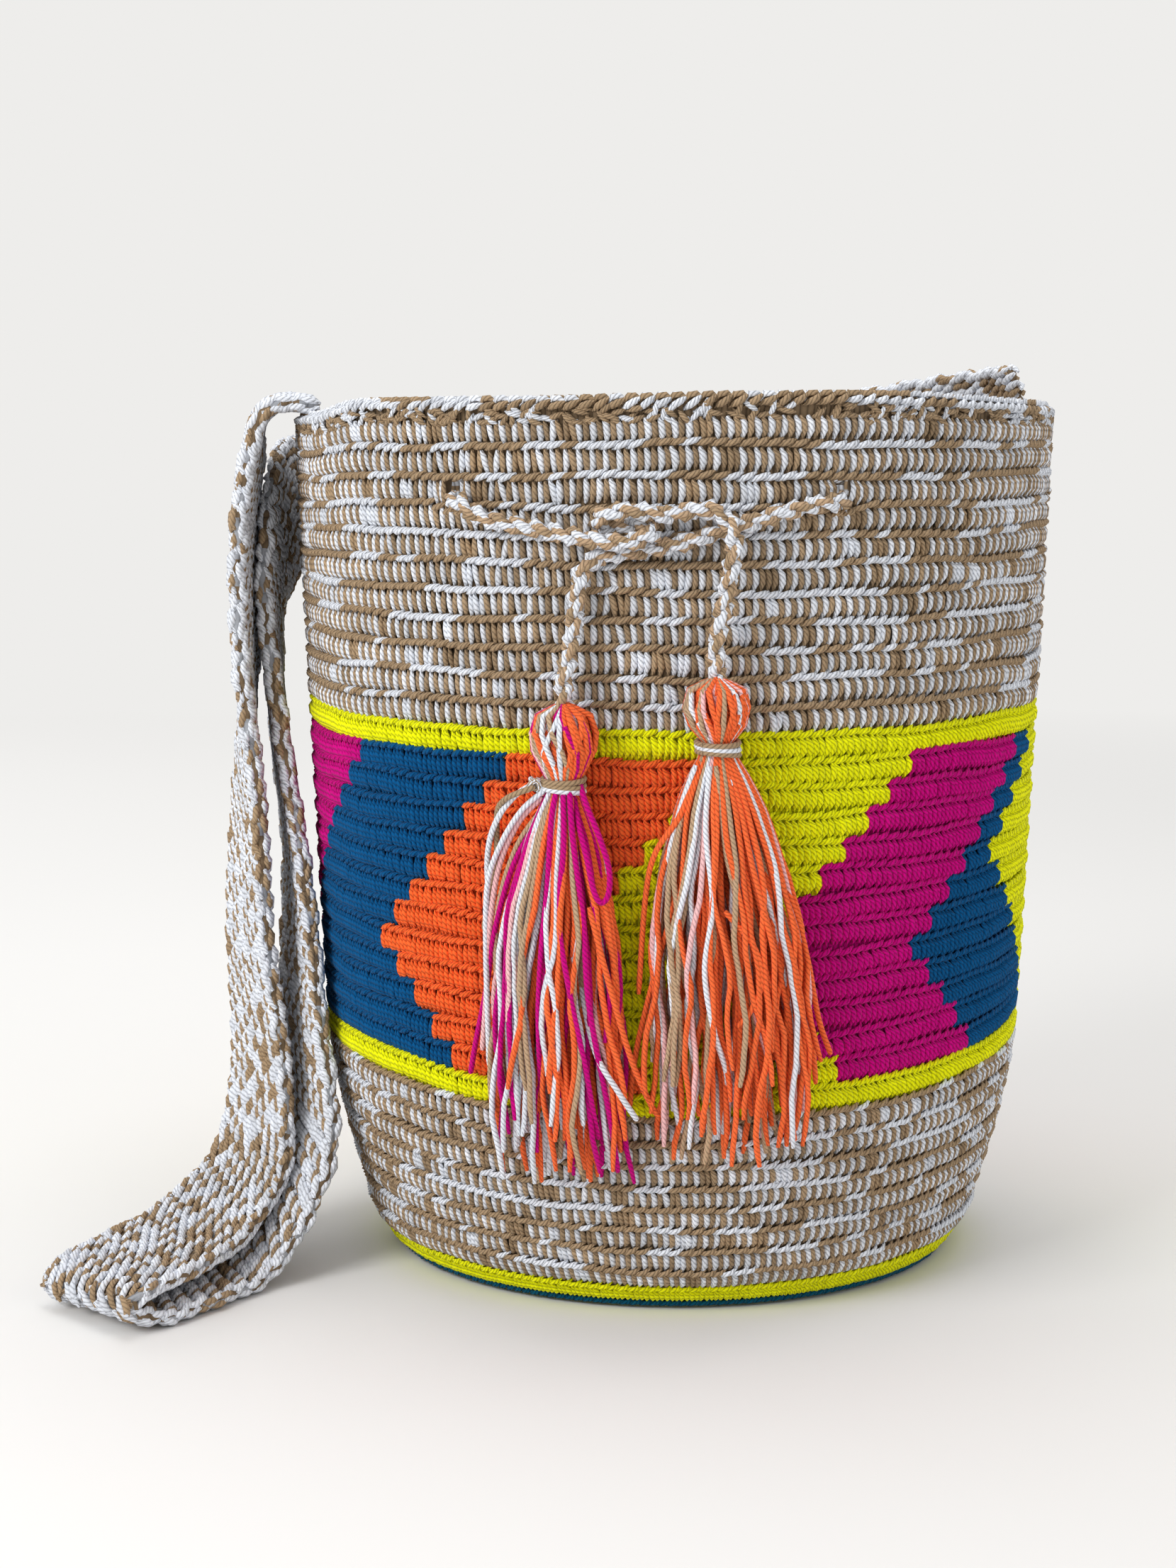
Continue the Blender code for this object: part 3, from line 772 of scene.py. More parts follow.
# strands that stray from the bundle, as (across, down, out from the wall) in millimetres
strayStrands = {
    "left": (
        ("magenta", ((4, 24, 12), (7, 31, 16), (11, 40, 18), (13.6, 49, 18), (13.4, 56, 18),
            (11.4, 58.6, 18), (9.6, 55, 19), (7.8, 46, 19), (5, 36, 17), (3, 28, 13))),
        ("tan", ((-6, 40, 14), (-15, 70, 12), (-18, 100, 8), (-19.5, 122, 5), (-20, 133, 4))),
        ("orange", ((8, 60, 18), (14, 85, 17), (19, 105, 13), (24, 118, 9), (26.5, 122, 8))),
        ("white", ((2, 60, 10), (5, 85, 14), (9, 102, 16), (15, 113, 15), (20, 122, 12))),
        ("magenta", ((-1, 28, 17), (-2, 36, 19), (-3, 54, 20), (-5, 72, 20), (-6.5, 91, 19),
            (-7.5, 112, 15))),
        ("magenta", ((1, 28, 17), (1.5, 44, 19.5), (0, 63, 20), (2.8, 84, 20), (6.5, 106, 18),
            (8.4, 128, 12))),
        ("magenta", ((2.8, 28, 17), (4, 41, 19), (6.5, 63, 19), (7.5, 84, 19), (9.3, 100, 17),
            (12, 121, 12), (13, 139, 8))),
        ("magenta", ((-6, 34, 13), (-16, 50, 12), (-23, 70, 11), (-28, 88, 8), (-34, 104, 5),
            (-37, 114, 4))),
        ("white", ((-5, 28, 15), (-12, 34, 15), (-19, 44, 14), (-24, 56, 13), (-26, 75, 11), (-27, 95, 9),
            (-28, 110, 7))),
        ("white", ((-3, 28, 16), (-8, 40, 16), (-13, 60, 16), (-18, 85, 13), (-20, 110, 9))),
        ("pink", ((-6, 30, 14), (-14, 38, 13), (-21, 52, 12), (-25, 72, 11), (-28, 90, 8), (-31, 106, 6))),
        ("tan", ((-5, 32, 13), (-15, 45, 12), (-22, 65, 11), (-24, 90, 8), (-23, 118, 6))),
        ("orange", ((-4, 40, 15), (-13, 65, 14), (-21, 90, 10), (-25, 115, 7), (-26, 136, 5))),
        ("orange", ((-5, 34, 15), (-14, 55, 14), (-20, 78, 11), (-25, 100, 8), (-29, 122, 5))),
    ),
    "right": (
        ("orange", ((-5, 30, 14), (-10, 44, 16), (-17, 55, 13), (-20, 68, 9), (-22, 95, 7))),
        ("orange", ((-5, 32, 12), (-12, 50, 12), (-15, 66, 9), (-16.4, 88, 7), (-16.6, 103, 7))),
        ("tan", ((4, 60, 18), (9, 88, 17), (14, 108, 12), (18, 124, 8), (20, 134, 7))),
        ("orange", ((2, 70, 19), (10, 80, 20), (12, 90, 20), (9, 98, 19), (6, 102, 18))),
        ("orange", ((5, 32, 15), (13, 48, 15), (21, 66, 13), (28, 84, 10), (34, 103, 6), (39, 114, 5))),
        ("orange", ((4, 40, 15), (14, 60, 15), (23, 80, 12), (30, 100, 8), (34, 122, 5))),
        ("tan", ((4, 34, 16), (12, 55, 16), (20, 75, 14), (28, 96, 9), (33, 112, 5))),
        ("white", ((3, 34, 17), (9, 54, 17), (16, 73, 16), (22, 97, 12), (28, 120, 7))),
        ("white", ((-2.4, 31, 17), (-3.4, 48, 19), (-1.5, 68, 20), (-3.4, 86, 20), (-0.6, 103, 19),
            (3.7, 117, 15), (3.7, 134, 9))),
        ("white", ((-6, 31, 15), (-10.8, 45, 15), (-15.5, 68, 13), (-16.4, 92, 11), (-13.6, 113, 9),
            (-9, 134, 7))),
        ("tan", ((-0.6, 31, 17), (2.2, 54, 19), (6.9, 73, 19), (9.7, 93, 18), (13.4, 117, 12),
            (18, 141, 6))),
        ("orange", ((-4, 40, 15), (-12, 70, 13), (-18, 92, 9), (-23, 112, 6), (-25, 128, 5))),
    ),
}


def hang(tassel, across, down, out):
    # a tassel's own measures turned into a place in front of the wall
    height = bag["height"] - tassel["drop"] - down
    slide = tassel["lean"] * smooth(down / yarnBundle["length"])
    around = tassel["angle"] + np.degrees((across + slide) / (wallRadius(height) + cord["standoff"]))
    return onWall(around, height, out)


def drawnUp(down, lift):
    # a place on a tassel once its tie sits higher by the lift
    neck, skirt = yarnBundle["neck"]
    end = yarnBundle["length"]
    below = end - (end - down) * (end - skirt + lift) / (end - skirt)
    return np.where(down < neck, down * (1 - lift / neck), np.where(down <= skirt, down - lift, below))


def rising(down, change):
    start, over = yarnBundle[change]
    return smooth((down - start) / over)


def smoothRoute(route, count):
    # a smooth line through points given in millimetres
    route = np.array(route) / 1000
    return curvePoints(route, np.linspace(0, len(route) - 1, count)).T


def strandLine(tassel, share, turn, dice):
    outline, yarn, raised = np.array(yarnBundle["outline"]), yarnBundle["yarnRadius"], tassel["lift"]
    levels = drawnUp(outline[:, 0], raised)
    crownDown, crownOut = yarnBundle["crown"]
    length = dice.uniform(yarnBundle["shortest"], yarnBundle["longest"])
    length -= yarnBundle["cutOff"] * (dice.random() < yarnBundle["cutShare"])
    down = np.concatenate([crownDown, np.arange(yarnBundle["first"], length, yarnBundle["step"])])
    spacing, twist = yarnBundle["spacing"], yarnBundle["twist"]
    turn = turn(dice.uniform(-spacing, spacing)) + dice.uniform(-twist, twist) * rising(down, "turning")
    head = 1 - smooth(down / (yarnBundle["neck"][0] - raised))
    turn = turn + dice.normal(*yarnBundle["headTwist"]) * head
    wide, deep = (np.interp(down, levels, outline[:, axis]) - yarn for axis in (1, 2))
    wide = np.where(down > yarnBundle["neck"][1] - raised, wide * tassel["width"], wide)
    wide[:2] = deep[:2] = crownOut
    sway = yarnBundle["sway"] * rising(down + raised, "loosening")
    phases, waves = dice.uniform(0, 6.28, 3), (*dice.uniform(*yarnBundle["waves"], 2), yarnBundle["crimp"])
    aside, lift, crimp = (np.sin(6.28 * down / wave + phase) for wave, phase in zip(waves, phases))
    stray = dice.normal(0, yarnBundle["stray"]) * rising(down, "straying") ** 2
    across = wide * share * np.cos(turn) + sway * (aside + yarnBundle["crimpShare"] * crimp) + stray
    out = cord["standoff"] + deep * share * np.sin(turn) + yarnBundle["swayOut"] * sway * lift
    out = np.maximum(out - yarnBundle["fall"] * rising(down, "falling"), yarn + yarnBundle["gap"])
    loss, place, reach = yarnBundle["pinch"]
    pinched = 1 - loss * bell(down + raised, place, reach)
    thick = tapered(len(down), yarn) * pinched * dice.uniform(*yarnBundle["thickness"])
    return hang(tassel, across, down, out), thick


def makeTassel(side, dice):
    tassel, lines = tassels[side], []
    names = list(tasselColours[side])
    shares = np.array(list(tasselColours[side].values()))
    for share, count in yarnBundle["rings"]:
        for number in range(count):
            third = int(np.clip(1.5 + 1.5 * math.cos(2 * math.pi * number / count), 0, 2))
            name = names[dice.choice(len(names), p=shares[:, third] / shares[:, third].sum())]
            points, thick = strandLine(tassel, share, lambda off: 2 * math.pi * (number + off) / count, dice)
            colour = yarnColours[tasselShades.get(name, name)] * dice.uniform(*yarnBundle["tints"])
            lines.append((points, colour, thick))
    for name, route in strayStrands[side]:
        across, down, out = smoothRoute(route, 6 * len(route))
        down = drawnUp(down, tassel["lift"])
        across = across - tassel["lean"] * smooth(down / yarnBundle["length"])
        points = hang(tassel, across, down, out)
        colour = yarnColours[tasselShades.get(name, name)]
        lines.append((points, colour, tapered(len(points), yarnBundle["yarnRadius"])))
    piece = growLines(f"tassel_{side}_strands", lines, yarnBundle["sides"], tasselYarn)
    return finished(piece, f"tassel_{side}_bundle")


tasselDice = np.random.default_rng(yarnBundle["seed"])
tasselPieces = [makeTassel(side, tasselDice) for side in tassels]


# Ties round the tassels' necks. The left one's knot and tail are given in millimetres, as the strays are.

ties = {
    "radius": 0.0060,
    "yarnRadius": 0.00088,
    "turnStep": 0.0015,
    "unevenness": 0.0006,
    "yarns": {"left": ("tan", "tan", "white"), "right": ("tan", "white", "tan")},
    "knot": (-7.6, 26.6, 14.5),
    "knotSize": (1.7, 1.5, 1.6),
    "knotPoints": 26,
    "knotShift": 2.1,  # from one of its yarns to the other
    "tailPoints": 40,
    "tailTurn": 9,
    "tailLowest": 0.002,  # out from the wall
    "ringPoints": 22,
    "tail": ((-8, 27, 16), (-11, 28.5, 17), (-15, 31, 16), (-18.5, 35, 14), (-21, 42, 12), (-22.5, 52, 10),
             (-23.2, 62, 9), (-23.4, 70, 8)),
    "tailCut": 8,  # points by which its second yarn is shorter
    "spread": (0.0009, 0.0012),  # between the tail's yarns: at the knot, and added by the end
    "sides": 6,
}


def knotLines(tassel):
    lines, count = [], ties["tailPoints"]
    for number, name in enumerate(("tan", "white")):
        turn = np.linspace(0, 4 * math.pi, ties["knotPoints"]) + number * ties["knotShift"]
        waves = np.stack([np.sin(turn + 0.6), np.cos(turn * 1.5), np.sin(turn * 0.5)], -1)
        across, down, out = ((ties["knot"] + waves * ties["knotSize"]) / 1000).T
        points = hang(tassel, across, down - tassel["lift"], out)
        lines.append((points, yarnColours[name], ties["yarnRadius"]))
        across, down, out = smoothRoute(ties["tail"], count)
        turn = np.linspace(0, ties["tailTurn"], count) + number * math.pi
        near, far = ties["spread"]
        across = across + (near + far * np.linspace(0, 1, count) ** 2) * np.cos(turn)
        out = np.maximum(out + near * np.sin(turn), ties["tailLowest"])
        points = hang(tassel, across, drawnUp(down, tassel["lift"]), out)[: count - ties["tailCut"] * number]
        lines.append((points, yarnColours[name], tapered(len(points), ties["yarnRadius"])))
    return lines


def makeTie(side):
    tassel = tassels[side]
    lines = knotLines(tassel) if side == "left" else []
    middle = sum(yarnBundle["neck"]) / 2 - tassel["lift"]
    for number, name in enumerate(ties["yarns"][side]):
        turn = np.linspace(0, 2 * math.pi, ties["ringPoints"]) + math.pi * 0.75
        down = middle + ties["turnStep"] * (number - 1) + ties["unevenness"] * np.sin(turn + number)
        across, out = ties["radius"] * np.cos(turn), cord["standoff"] + ties["radius"] * np.sin(turn)
        lines.insert(number, (hang(tassel, across, down, out), yarnColours[name], ties["yarnRadius"]))
    piece = growLines(f"tassel_{side}_tie_yarn", lines, ties["sides"], tieYarn)
    return finished(piece, f"tassel_{side}_tie")


tiePieces = [makeTie(side) for side in tassels]


# The wall's stitches, row by row

rows = {
    "firstRidge": 0.0084,
    "bodyRow": 0.00777,
    "bodyRows": 22,
    "neckRow": 0.00818,
    "neckRows": 10,
    "lastRise": 0.0080,
    "base": (0.0008, 0.0021),  # height of the underside's edge and of the first row's middle
    "stitches": 192,
    "bandStart": 10,
    "bandRows": 12,
    "bandSunk": 0.0006,  # of the bands' ridges, which stand out less
    "bandFull": 1.12,  # size of their uprights
    "fieldStep": 3.75,
    "wave": 0.00044,
    "waves": ((1, 5), (0.6, 11), (0.4, 23)),  # share of the wave and how often round the bag
    "drift": ((0.07, 7, 2.1), (0.05, 31, 4.7)),  # of the tone: amount, waves round the bag, shift by row
    "slips": 0.03,  # share of the uprights out of turn
    "white": (0.46, 0.42),  # share among the uprights and along the ridges
    "runs": 0.55,
    "sizes": (0.92, 1.08),
    "stitchHeight": 0.0078,  # at which an upright keeps its own length
    "uprightJitter": (0.05, 0.00012, 0.08),  # degrees round the bag, distance out, roll
    "ridgeJitter": (0.06, 0.0001, 0.05),
    "ridgeSlant": 0.05,
    "plainTints": (0.93, 1.07),
    "tanTints": (0.78, 1.12),
    "whiteTints": (0.86, 1.05),
    "ridgeTints": (0.93, 1.05),
    "tanSize": 0.96,
    "whiteSize": 1.10,
    "eyeletRow": 31,
    "parting": (1.45, 0.46, 2.7),  # where an eyelet pushes uprights to, by what share and within what angle
    "ridgeDrop": (0.0024, 1.2, 3.0),  # under an eyelet: depth, half its width and the way back up in degrees
    "seed": 7,
}
fields = (  # colour, angle and band row of the tip
    ("teal", -97.5, 0), ("orange", -52.5, 4), ("yellow", -20.625, 4), ("magenta", 9.375, 4),
    ("teal", 37.5, 4), ("yellow", 56.25, 7), ("orange", 97.5, 4), ("magenta", 127.5, 4),
    ("teal", 157.5, 4), ("orange", 187.5, 4), ("yellow", 217.5, 4), ("magenta", 247.5, 4),
)
ridges = [rows["firstRidge"] + i * rows["bodyRow"] for i in range(rows["bodyRows"] + 1)]
ridges += [ridges[-1] + (i + 1) * rows["neckRow"] for i in range(rows["neckRows"])]
lastRow = len(ridges)
bandEnd = rows["bandStart"] + rows["bandRows"]
pitch = 360 / rows["stitches"]
yellowRows = (0, rows["bandStart"] - 1, bandEnd)


def inBand(row):
    return rows["bandStart"] <= row < bandEnd


def plainRow(row):
    return row in yellowRows or inBand(row)


def whiteOrTan(white):
    return np.where(np.reshape(white, (-1, 1)), yarnColours["white"], yarnColours["tan"])


def marl(count, share, keep, dice):
    # white here and there among the tan, in runs
    white = np.empty(count, bool)
    white[0] = dice.random() < share
    for index in range(1, count):
        white[index] = white[index - 1] if dice.random() < keep else dice.random() < share
    return white


def rowColours(row, angles, share, keep, dice):
    if row in yellowRows:
        return np.tile(yarnColours["yellow"], (len(angles), 1))
    if row < 0:
        return np.tile(yarnColours["deepTeal"], (len(angles), 1))
    if inBand(row):
        level = row - rows["bandStart"]
        edges = [tip + rows["fieldStep"] * abs(level - tipRow) for name, tip, tipRow in fields]
        nearest = np.argmin([(angles - edge) % 360 for edge in edges], axis=0)
        return np.array([yarnColours[field[0]] for field in fields])[nearest]
    return whiteOrTan(marl(len(angles), share, keep, dice))


def wallFrame(angle, height):
    across = unit(onWall(angle + 0.05, height, 0, True) - onWall(angle - 0.05, height, 0, True))
    along = unit(onWall(angle, height + 2e-4, 0, True) - onWall(angle, height - 2e-4, 0, True))
    out = unit(np.cross(across, along))
    return across, np.cross(out, across), out


def wander(angle, scale, dice):
    # a slow wave along a row
    phases, turn = dice.uniform(0, 6.28, 3), np.radians(angle)
    waves = zip(rows["waves"], phases)
    return scale * sum(share * np.sin(often * turn + phase) for (share, often), phase in waves)


wallStitch = {
    "Upright start": (-0.0005, 0.0030, -0.0008),
    "Upright middle": (0.0010, 0.0003, 0.0011),
    "Upright end": (-0.0002, -0.0036, -0.0014),
    "Upright radius": 0.00104,
    "Upright steps": 3,
    "Lying start": (-0.0032, -0.00085, -0.0015),
    "Lying middle": (0.0, 0.0, 0.0025),
    "Lying end": (0.0032, 0.00085, -0.0011),
    "Lying radius": 0.00093,
    "Lying steps": 3,
    "End share": 0.5,
    "Sides": 4,
}
stitchNodes = stitchTree(wallStitch)


def shadeOf(angles, row, tan, dice):
    # the yarn's tone drifts along a row, and more in the tan yarn than in the white
    turn = np.radians(angles)
    drift = 1 + sum(much * np.sin(turn * often + row * shift) for much, often, shift in rows["drift"])
    tints = (dice.uniform(*rows[name], tan.shape) for name in ("tanTints", "whiteTints"))
    return drift[:, None] * np.where(tan, *tints)


def layUprights(stitches, row, below, top, wave, dice):
    angles = (np.arange(2 * rows["stitches"]) + 0.5) * pitch / 2
    count, plain = len(angles), plainRow(row)
    height = (top + below) / 2 + np.repeat(wave, 2)
    colours = rowColours(row, angles, rows["white"][0], -1, dice)
    if not plain:
        # one white and one tan strand to a stitch, with a slip now and then
        turns = np.cumsum(dice.random(count) < rows["slips"])
        colours = whiteOrTan(((np.arange(count) + turns) % 2 == 0) ^ (dice.random(count) < rows["slips"]))
    if row == rows["eyeletRow"]:
        least, share, within = rows["parting"]
        for eyelet in bag["eyeletAngles"]:
            aside = (angles - eyelet + 180) % 360 - 180
            pushed = np.sign(aside) * (least + np.abs(aside) * share)
            angles = np.where(np.abs(aside) < within, eyelet + pushed, angles)
    around, off, roll = rows["uprightJitter"]
    angles = angles + dice.normal(0, around, count)
    frame = wallFrame(angles, height)
    points = onWall(angles, height, dice.normal(0, off, count), True)
    full = rows["bandFull"] if plain else 1.0
    wide, deep = (full * dice.uniform(*rows["sizes"], count) for axis in range(2))
    if plain:
        tint = dice.uniform(*rows["plainTints"], (count, 1))
    else:
        tan = colours[:, :1] * 0.8 > colours[:, 2:]  # it has far less blue than the white
        tint = shadeOf(angles, row, tan, dice)
        wide = wide * np.where(tan[:, 0], rows["tanSize"], rows["whiteSize"])
    sizes = np.stack([wide, np.full(count, (top - below) / rows["stitchHeight"]), deep], -1)
    stitches.add(points, frame, colours * tint, 0, sizes, dice.normal(0, roll, count))


def layRidge(stitches, row, top, wave, dice):
    count, height = rows["stitches"], top + wave
    angles = (np.arange(count) + 0.5) * pitch
    if row == rows["eyeletRow"] - 1:
        drop, within, over = rows["ridgeDrop"]
        height = height - drop * (1 - smooth((fromEyelet(angles) - within) / over))
    around, off, roll = rows["ridgeJitter"]
    frame = wallFrame(angles, height)
    out = dice.normal(0, off, count) - rows["bandSunk"] * plainRow(row)
    points = onWall(angles + dice.normal(0, around, count), height, out, True)
    colours = rowColours(row, angles, rows["white"][1], rows["runs"], dice)
    colours = colours * dice.uniform(*rows["ridgeTints"], (count, 1))
    stitches.add(points, frame, colours, 1, roll=dice.normal(rows["ridgeSlant"], roll, count))


def layRow(stitches, row, dice):
    levels = [*rows["base"], *ridges, ridges[-1] + rows["lastRise"]]
    below = levels[row + 1] if row > 0 else rows["base"][0]
    top = levels[row + 2] if row >= 0 else rows["base"][1]
    wave = np.zeros(rows["stitches"])
    if 0 < row < lastRow:
        wave = wander((np.arange(rows["stitches"]) + 0.5) * pitch, rows["wave"], dice)
    if row >= 0:
        layUprights(stitches, row, below, top, wave, dice)
    if row < lastRow:
        layRidge(stitches, row, top, wave, dice)


def makeWallStitches():
    dice = np.random.default_rng(rows["seed"])
    zones = {"foot": (-1, 8), "low_band": (8, 17), "high_band": (17, 25), "neck": (25, lastRow + 1)}
    for name, zone in zones.items():
        stitches = Stitches()
        for row in range(*zone):
            layRow(stitches, row, dice)
        finished(stitches.grown(f"wall_stitches_{name}", wallStitch, wallYarn), "bag_body")


makeWallStitches()


# The rim's chain of loops and the uneven rows under it

rim = {
    "lines": (  # out from the wall, drop below the bag's top, tilt of the face from level, slant
        (-0.0002, 0.0024, 0.0, 0.16),
        (-0.0016, 0.0008, 60.0, -0.22),
        (-0.0034, 0.0010, 110.0, 0.22),
        (-0.0046, 0.0030, 180.0, -0.16),
    ),
    "stitches": 172,
    "size": (0.95, 1.1, 1.25),
    "wave": 0.00018,
    "white": (0.58, 0.60),  # share and runs
    "tints": (0.80, 1.08),
    "rollJitter": 0.10,
    "edgingDrops": (0.0062, 0.0044),
    "edgingStitches": 1.6,  # to each of the rim's
    "edgingSize": (0.85, 0.9, 0.9),
    "edgingWhite": 0.34,
    "edgingTints": (0.85, 1.03),
    "edgingRoll": 1.2,
    "edgingJitter": 0.0005,
    "edgingReach": (-0.0008, 0.0002),  # out from the wall
    "seed": 21,
}


def makeRim():
    dice = np.random.default_rng(rim["seed"])
    stitches = Stitches()
    count = rim["stitches"]
    angles = (np.arange(count) + 0.5) * 360 / count
    for out, drop, tilt, slant in rim["lines"]:
        height = np.full(count, bag["height"] - drop) + wander(angles, rim["wave"], dice)
        across, along, face = wallFrame(angles, np.full(count, bag["height"] - drop - 0.001))
        lean = math.radians(tilt)
        outward = face * math.cos(lean) + along * math.sin(lean)
        colours = whiteOrTan(marl(count, *rim["white"], dice)) * dice.uniform(*rim["tints"], (count, 1))
        frame = across, np.cross(outward, across), outward
        roll = dice.normal(slant, rim["rollJitter"], count)
        stitches.add(onWall(angles, height, out, True), frame, colours, 1, rim["size"], roll)
    for drop in rim["edgingDrops"]:
        count = int(rim["edgingStitches"] * rim["stitches"])
        angles = np.sort(dice.uniform(0, 360, count))
        height = bag["height"] - drop + dice.normal(0, rim["edgingJitter"], count)
        points = onWall(angles, height, dice.uniform(*rim["edgingReach"], count), True)
        colours = whiteOrTan(dice.random(count) < rim["edgingWhite"])
        colours = colours * dice.uniform(*rim["edgingTints"], (count, 1))
        roll = dice.uniform(-rim["edgingRoll"], rim["edgingRoll"], count)
        stitches.add(points, wallFrame(angles, height), colours, 1, rim["edgingSize"], roll)
    finished(stitches.grown("rim_stitches", wallStitch, wallYarn), "bag_body")


makeRim()


# The cloth behind the stitches: underside, wall, rim, lining and inner floor, as one closed shell

shell = {
    "columns": 192,
    "backing": 0.0019,
    "ridgeDepth": 0.0008,
    "ringPitch": 0.0078,
    "underside": 0.0004,
    "undersideGroove": 0.0012,
    "floorGroove": 0.0010,
    "heel": 0.0030,  # height of the outside's lowest ring
    "lastRings": (0.004, 0.008),  # above the last ridge
    "topDepth": 0.0012,
    "topEdges": ((0.0018, True), (0.0030, False)),  # inset from the rim, whether outside
    "liningGap": 0.0002,
    "hollow": -0.2,  # of the ridges' depth, between two of them
    "levelRadius": 0.06,  # within it nothing droops
    "white": (0.4, 0.3),  # share and runs in the lining
    # painted shade on the cloth seen between the stitches and on the lining: tones and shade scale its
    # colours down, less behind the plain rows
    "tones": (1.2, 0.9, 1.0),  # of plain rows, of the others outside and of the lining
    "shade": 0.8,
    "eyeletShade": 0.6,
    "holeLow": 0.2432,
    "holeHigh": 0.2512,
    "holeHalfAngle": 1.9,
    "eyeletReach": 6,
    "seed": 3,
}


def shellProfile():
    # (radius, height, row, outside) round the shell, from the underside's middle to the inner floor's
    points = []
    rings = int(bag["baseRadius"] / shell["ringPitch"])
    for number in range(1, 3 * rings + 1):
        radius = number * shell["ringPitch"] / 3
        points.append((radius, shell["underside" if number % 3 else "undersideGroove"], -1, True))
    heights = [shell["heel"], ridges[0]]
    for low, high in zip(ridges, ridges[1:]):
        heights += [(low + high) / 2, high]
    heights += [ridges[-1] + rise for rise in shell["lastRings"]]
    for height in heights:
        row = int(np.searchsorted(ridges, height - 1e-5))
        points.append((float(wallRadius(height)) - shell["backing"], height, row, True))
    top = bag["height"] - shell["topDepth"]
    points += [(bag["rimRadius"] - inset, top, lastRow, outside) for inset, outside in shell["topEdges"]]
    for height in reversed(heights[1:]):
        row = int(np.searchsorted(ridges, height - 1e-5))
        near = min(abs(height - ridge) for ridge in ridges)
        bulge = shell["ridgeDepth"] * (1 if near < 1e-5 else shell["hollow"])
        radius = float(wallRadius(height)) - bag["wall"] + shell["liningGap"] - bulge
        points.append((radius, height, row, False))
    for number in range(3 * rings, 0, -1):
        radius = number * shell["ringPitch"] / 3
        points.append((radius, bag["floor"] - (shell["floorGroove"] if number % 3 else 0.0), -1, False))
    return points


def makeShell():
    dice = np.random.default_rng(shell["seed"])
    profile, count = shellProfile(), shell["columns"]
    angles = np.arange(count) * 360 / count
    radius = np.array([p[0] for p in profile])[:, None]
    height = np.array([p[1] for p in profile])[:, None]
    turn = np.radians(angles)[None]
    level = height - droop(angles[None], height) * (radius > shell["levelRadius"])
    points = np.stack([radius * np.sin(turn), -radius * np.cos(turn), level + 0 * turn], -1)
    middles = angles + 180 / count
    holed = fromEyelet(middles) < shell["holeHalfAngle"]
    mesh = bmesh.new()
    corners = [[mesh.verts.new(point) for point in ring] for ring in points]
    tones, faces, marled = [], [], []
    for lower, upper, ring, nextRing in zip(profile, profile[1:], corners, corners[1:]):
        row = lower[2] if lower[1] > upper[1] else upper[2]
        outside, plain = lower[3] and upper[3], plainRow(row)
        share, runs = shell["white"]
        colours = rowColours(row, middles, 0.0 if outside else share, runs, dice)
        # painted shade, more or less by zone
        colours = colours * shell["tones"][0 if plain else 1 if outside else 2]
        byEyelets = shell["holeLow"] < (lower[1] + upper[1]) / 2 < shell["holeHigh"]
        for column in range(count):
            if byEyelets and holed[column]:
                continue
            after = (column + 1) % count
            faces.append(mesh.faces.new((ring[column], ring[after], nextRing[after], nextRing[column])))
            tones.append(colours[column])
            marled.append(not (plain or outside or row < 0))
    for ring, height in ((corners[0], shell["underside"]), (corners[-1], bag["floor"])):
        hub = mesh.verts.new((0, 0, height))
        for column in range(count):
            faces.append(mesh.faces.new((hub, ring[column], ring[(column + 1) % count])))
            tones.append(yarnColours["deepTeal"])
            marled.append(False)
    # close the sides of the eyelets
    rims = [edge for edge in mesh.edges if edge.is_boundary]
    around = [math.degrees(math.atan2(edge.verts[0].co.x, -edge.verts[0].co.y)) for edge in rims]
    for eyelet in bag["eyeletAngles"]:
        near = [edge for edge, angle in zip(rims, around) if apart(angle, eyelet) < shell["eyeletReach"]]
        made = bmesh.ops.bridge_loops(mesh, edges=near)["faces"]
        faces += made
        tones += [yarnColours["tan"] * shell["eyeletShade"]] * len(made)
        marled += [False] * len(made)
    bmesh.ops.recalc_face_normals(mesh, faces=mesh.faces)
    mesh.faces.index_update()
    order = np.argsort([face.index for face in faces])
    onRidge = [min(abs(p[1] - ridge) for ridge in ridges) < 1e-5 for p in profile]
    for face in mesh.faces:
        face.smooth = True
    data = bpy.data.meshes.new("bag_shell")
    mesh.to_mesh(data)
    mesh.free()
    # all the shell's colours darkened by the painted shade
    dye(data, "FACE", np.array(tones)[order] * shell["shade"])
    store(data, "marled", "FLOAT", "FACE", np.array(marled)[order])
    store(data, "ridge", "FLOAT", "POINT", np.concatenate([np.repeat(onRidge, count), [0, 0]]))
    data.materials.append(backingCloth)
    finished(addPiece("bag_shell", data), "bag_body")


makeShell()


# Shoulder strap: a flat band of chain stitches over a thin core. Its route repeats the CAD model's, as
# (angle, distance from the wall, height, turn and lean of its width).

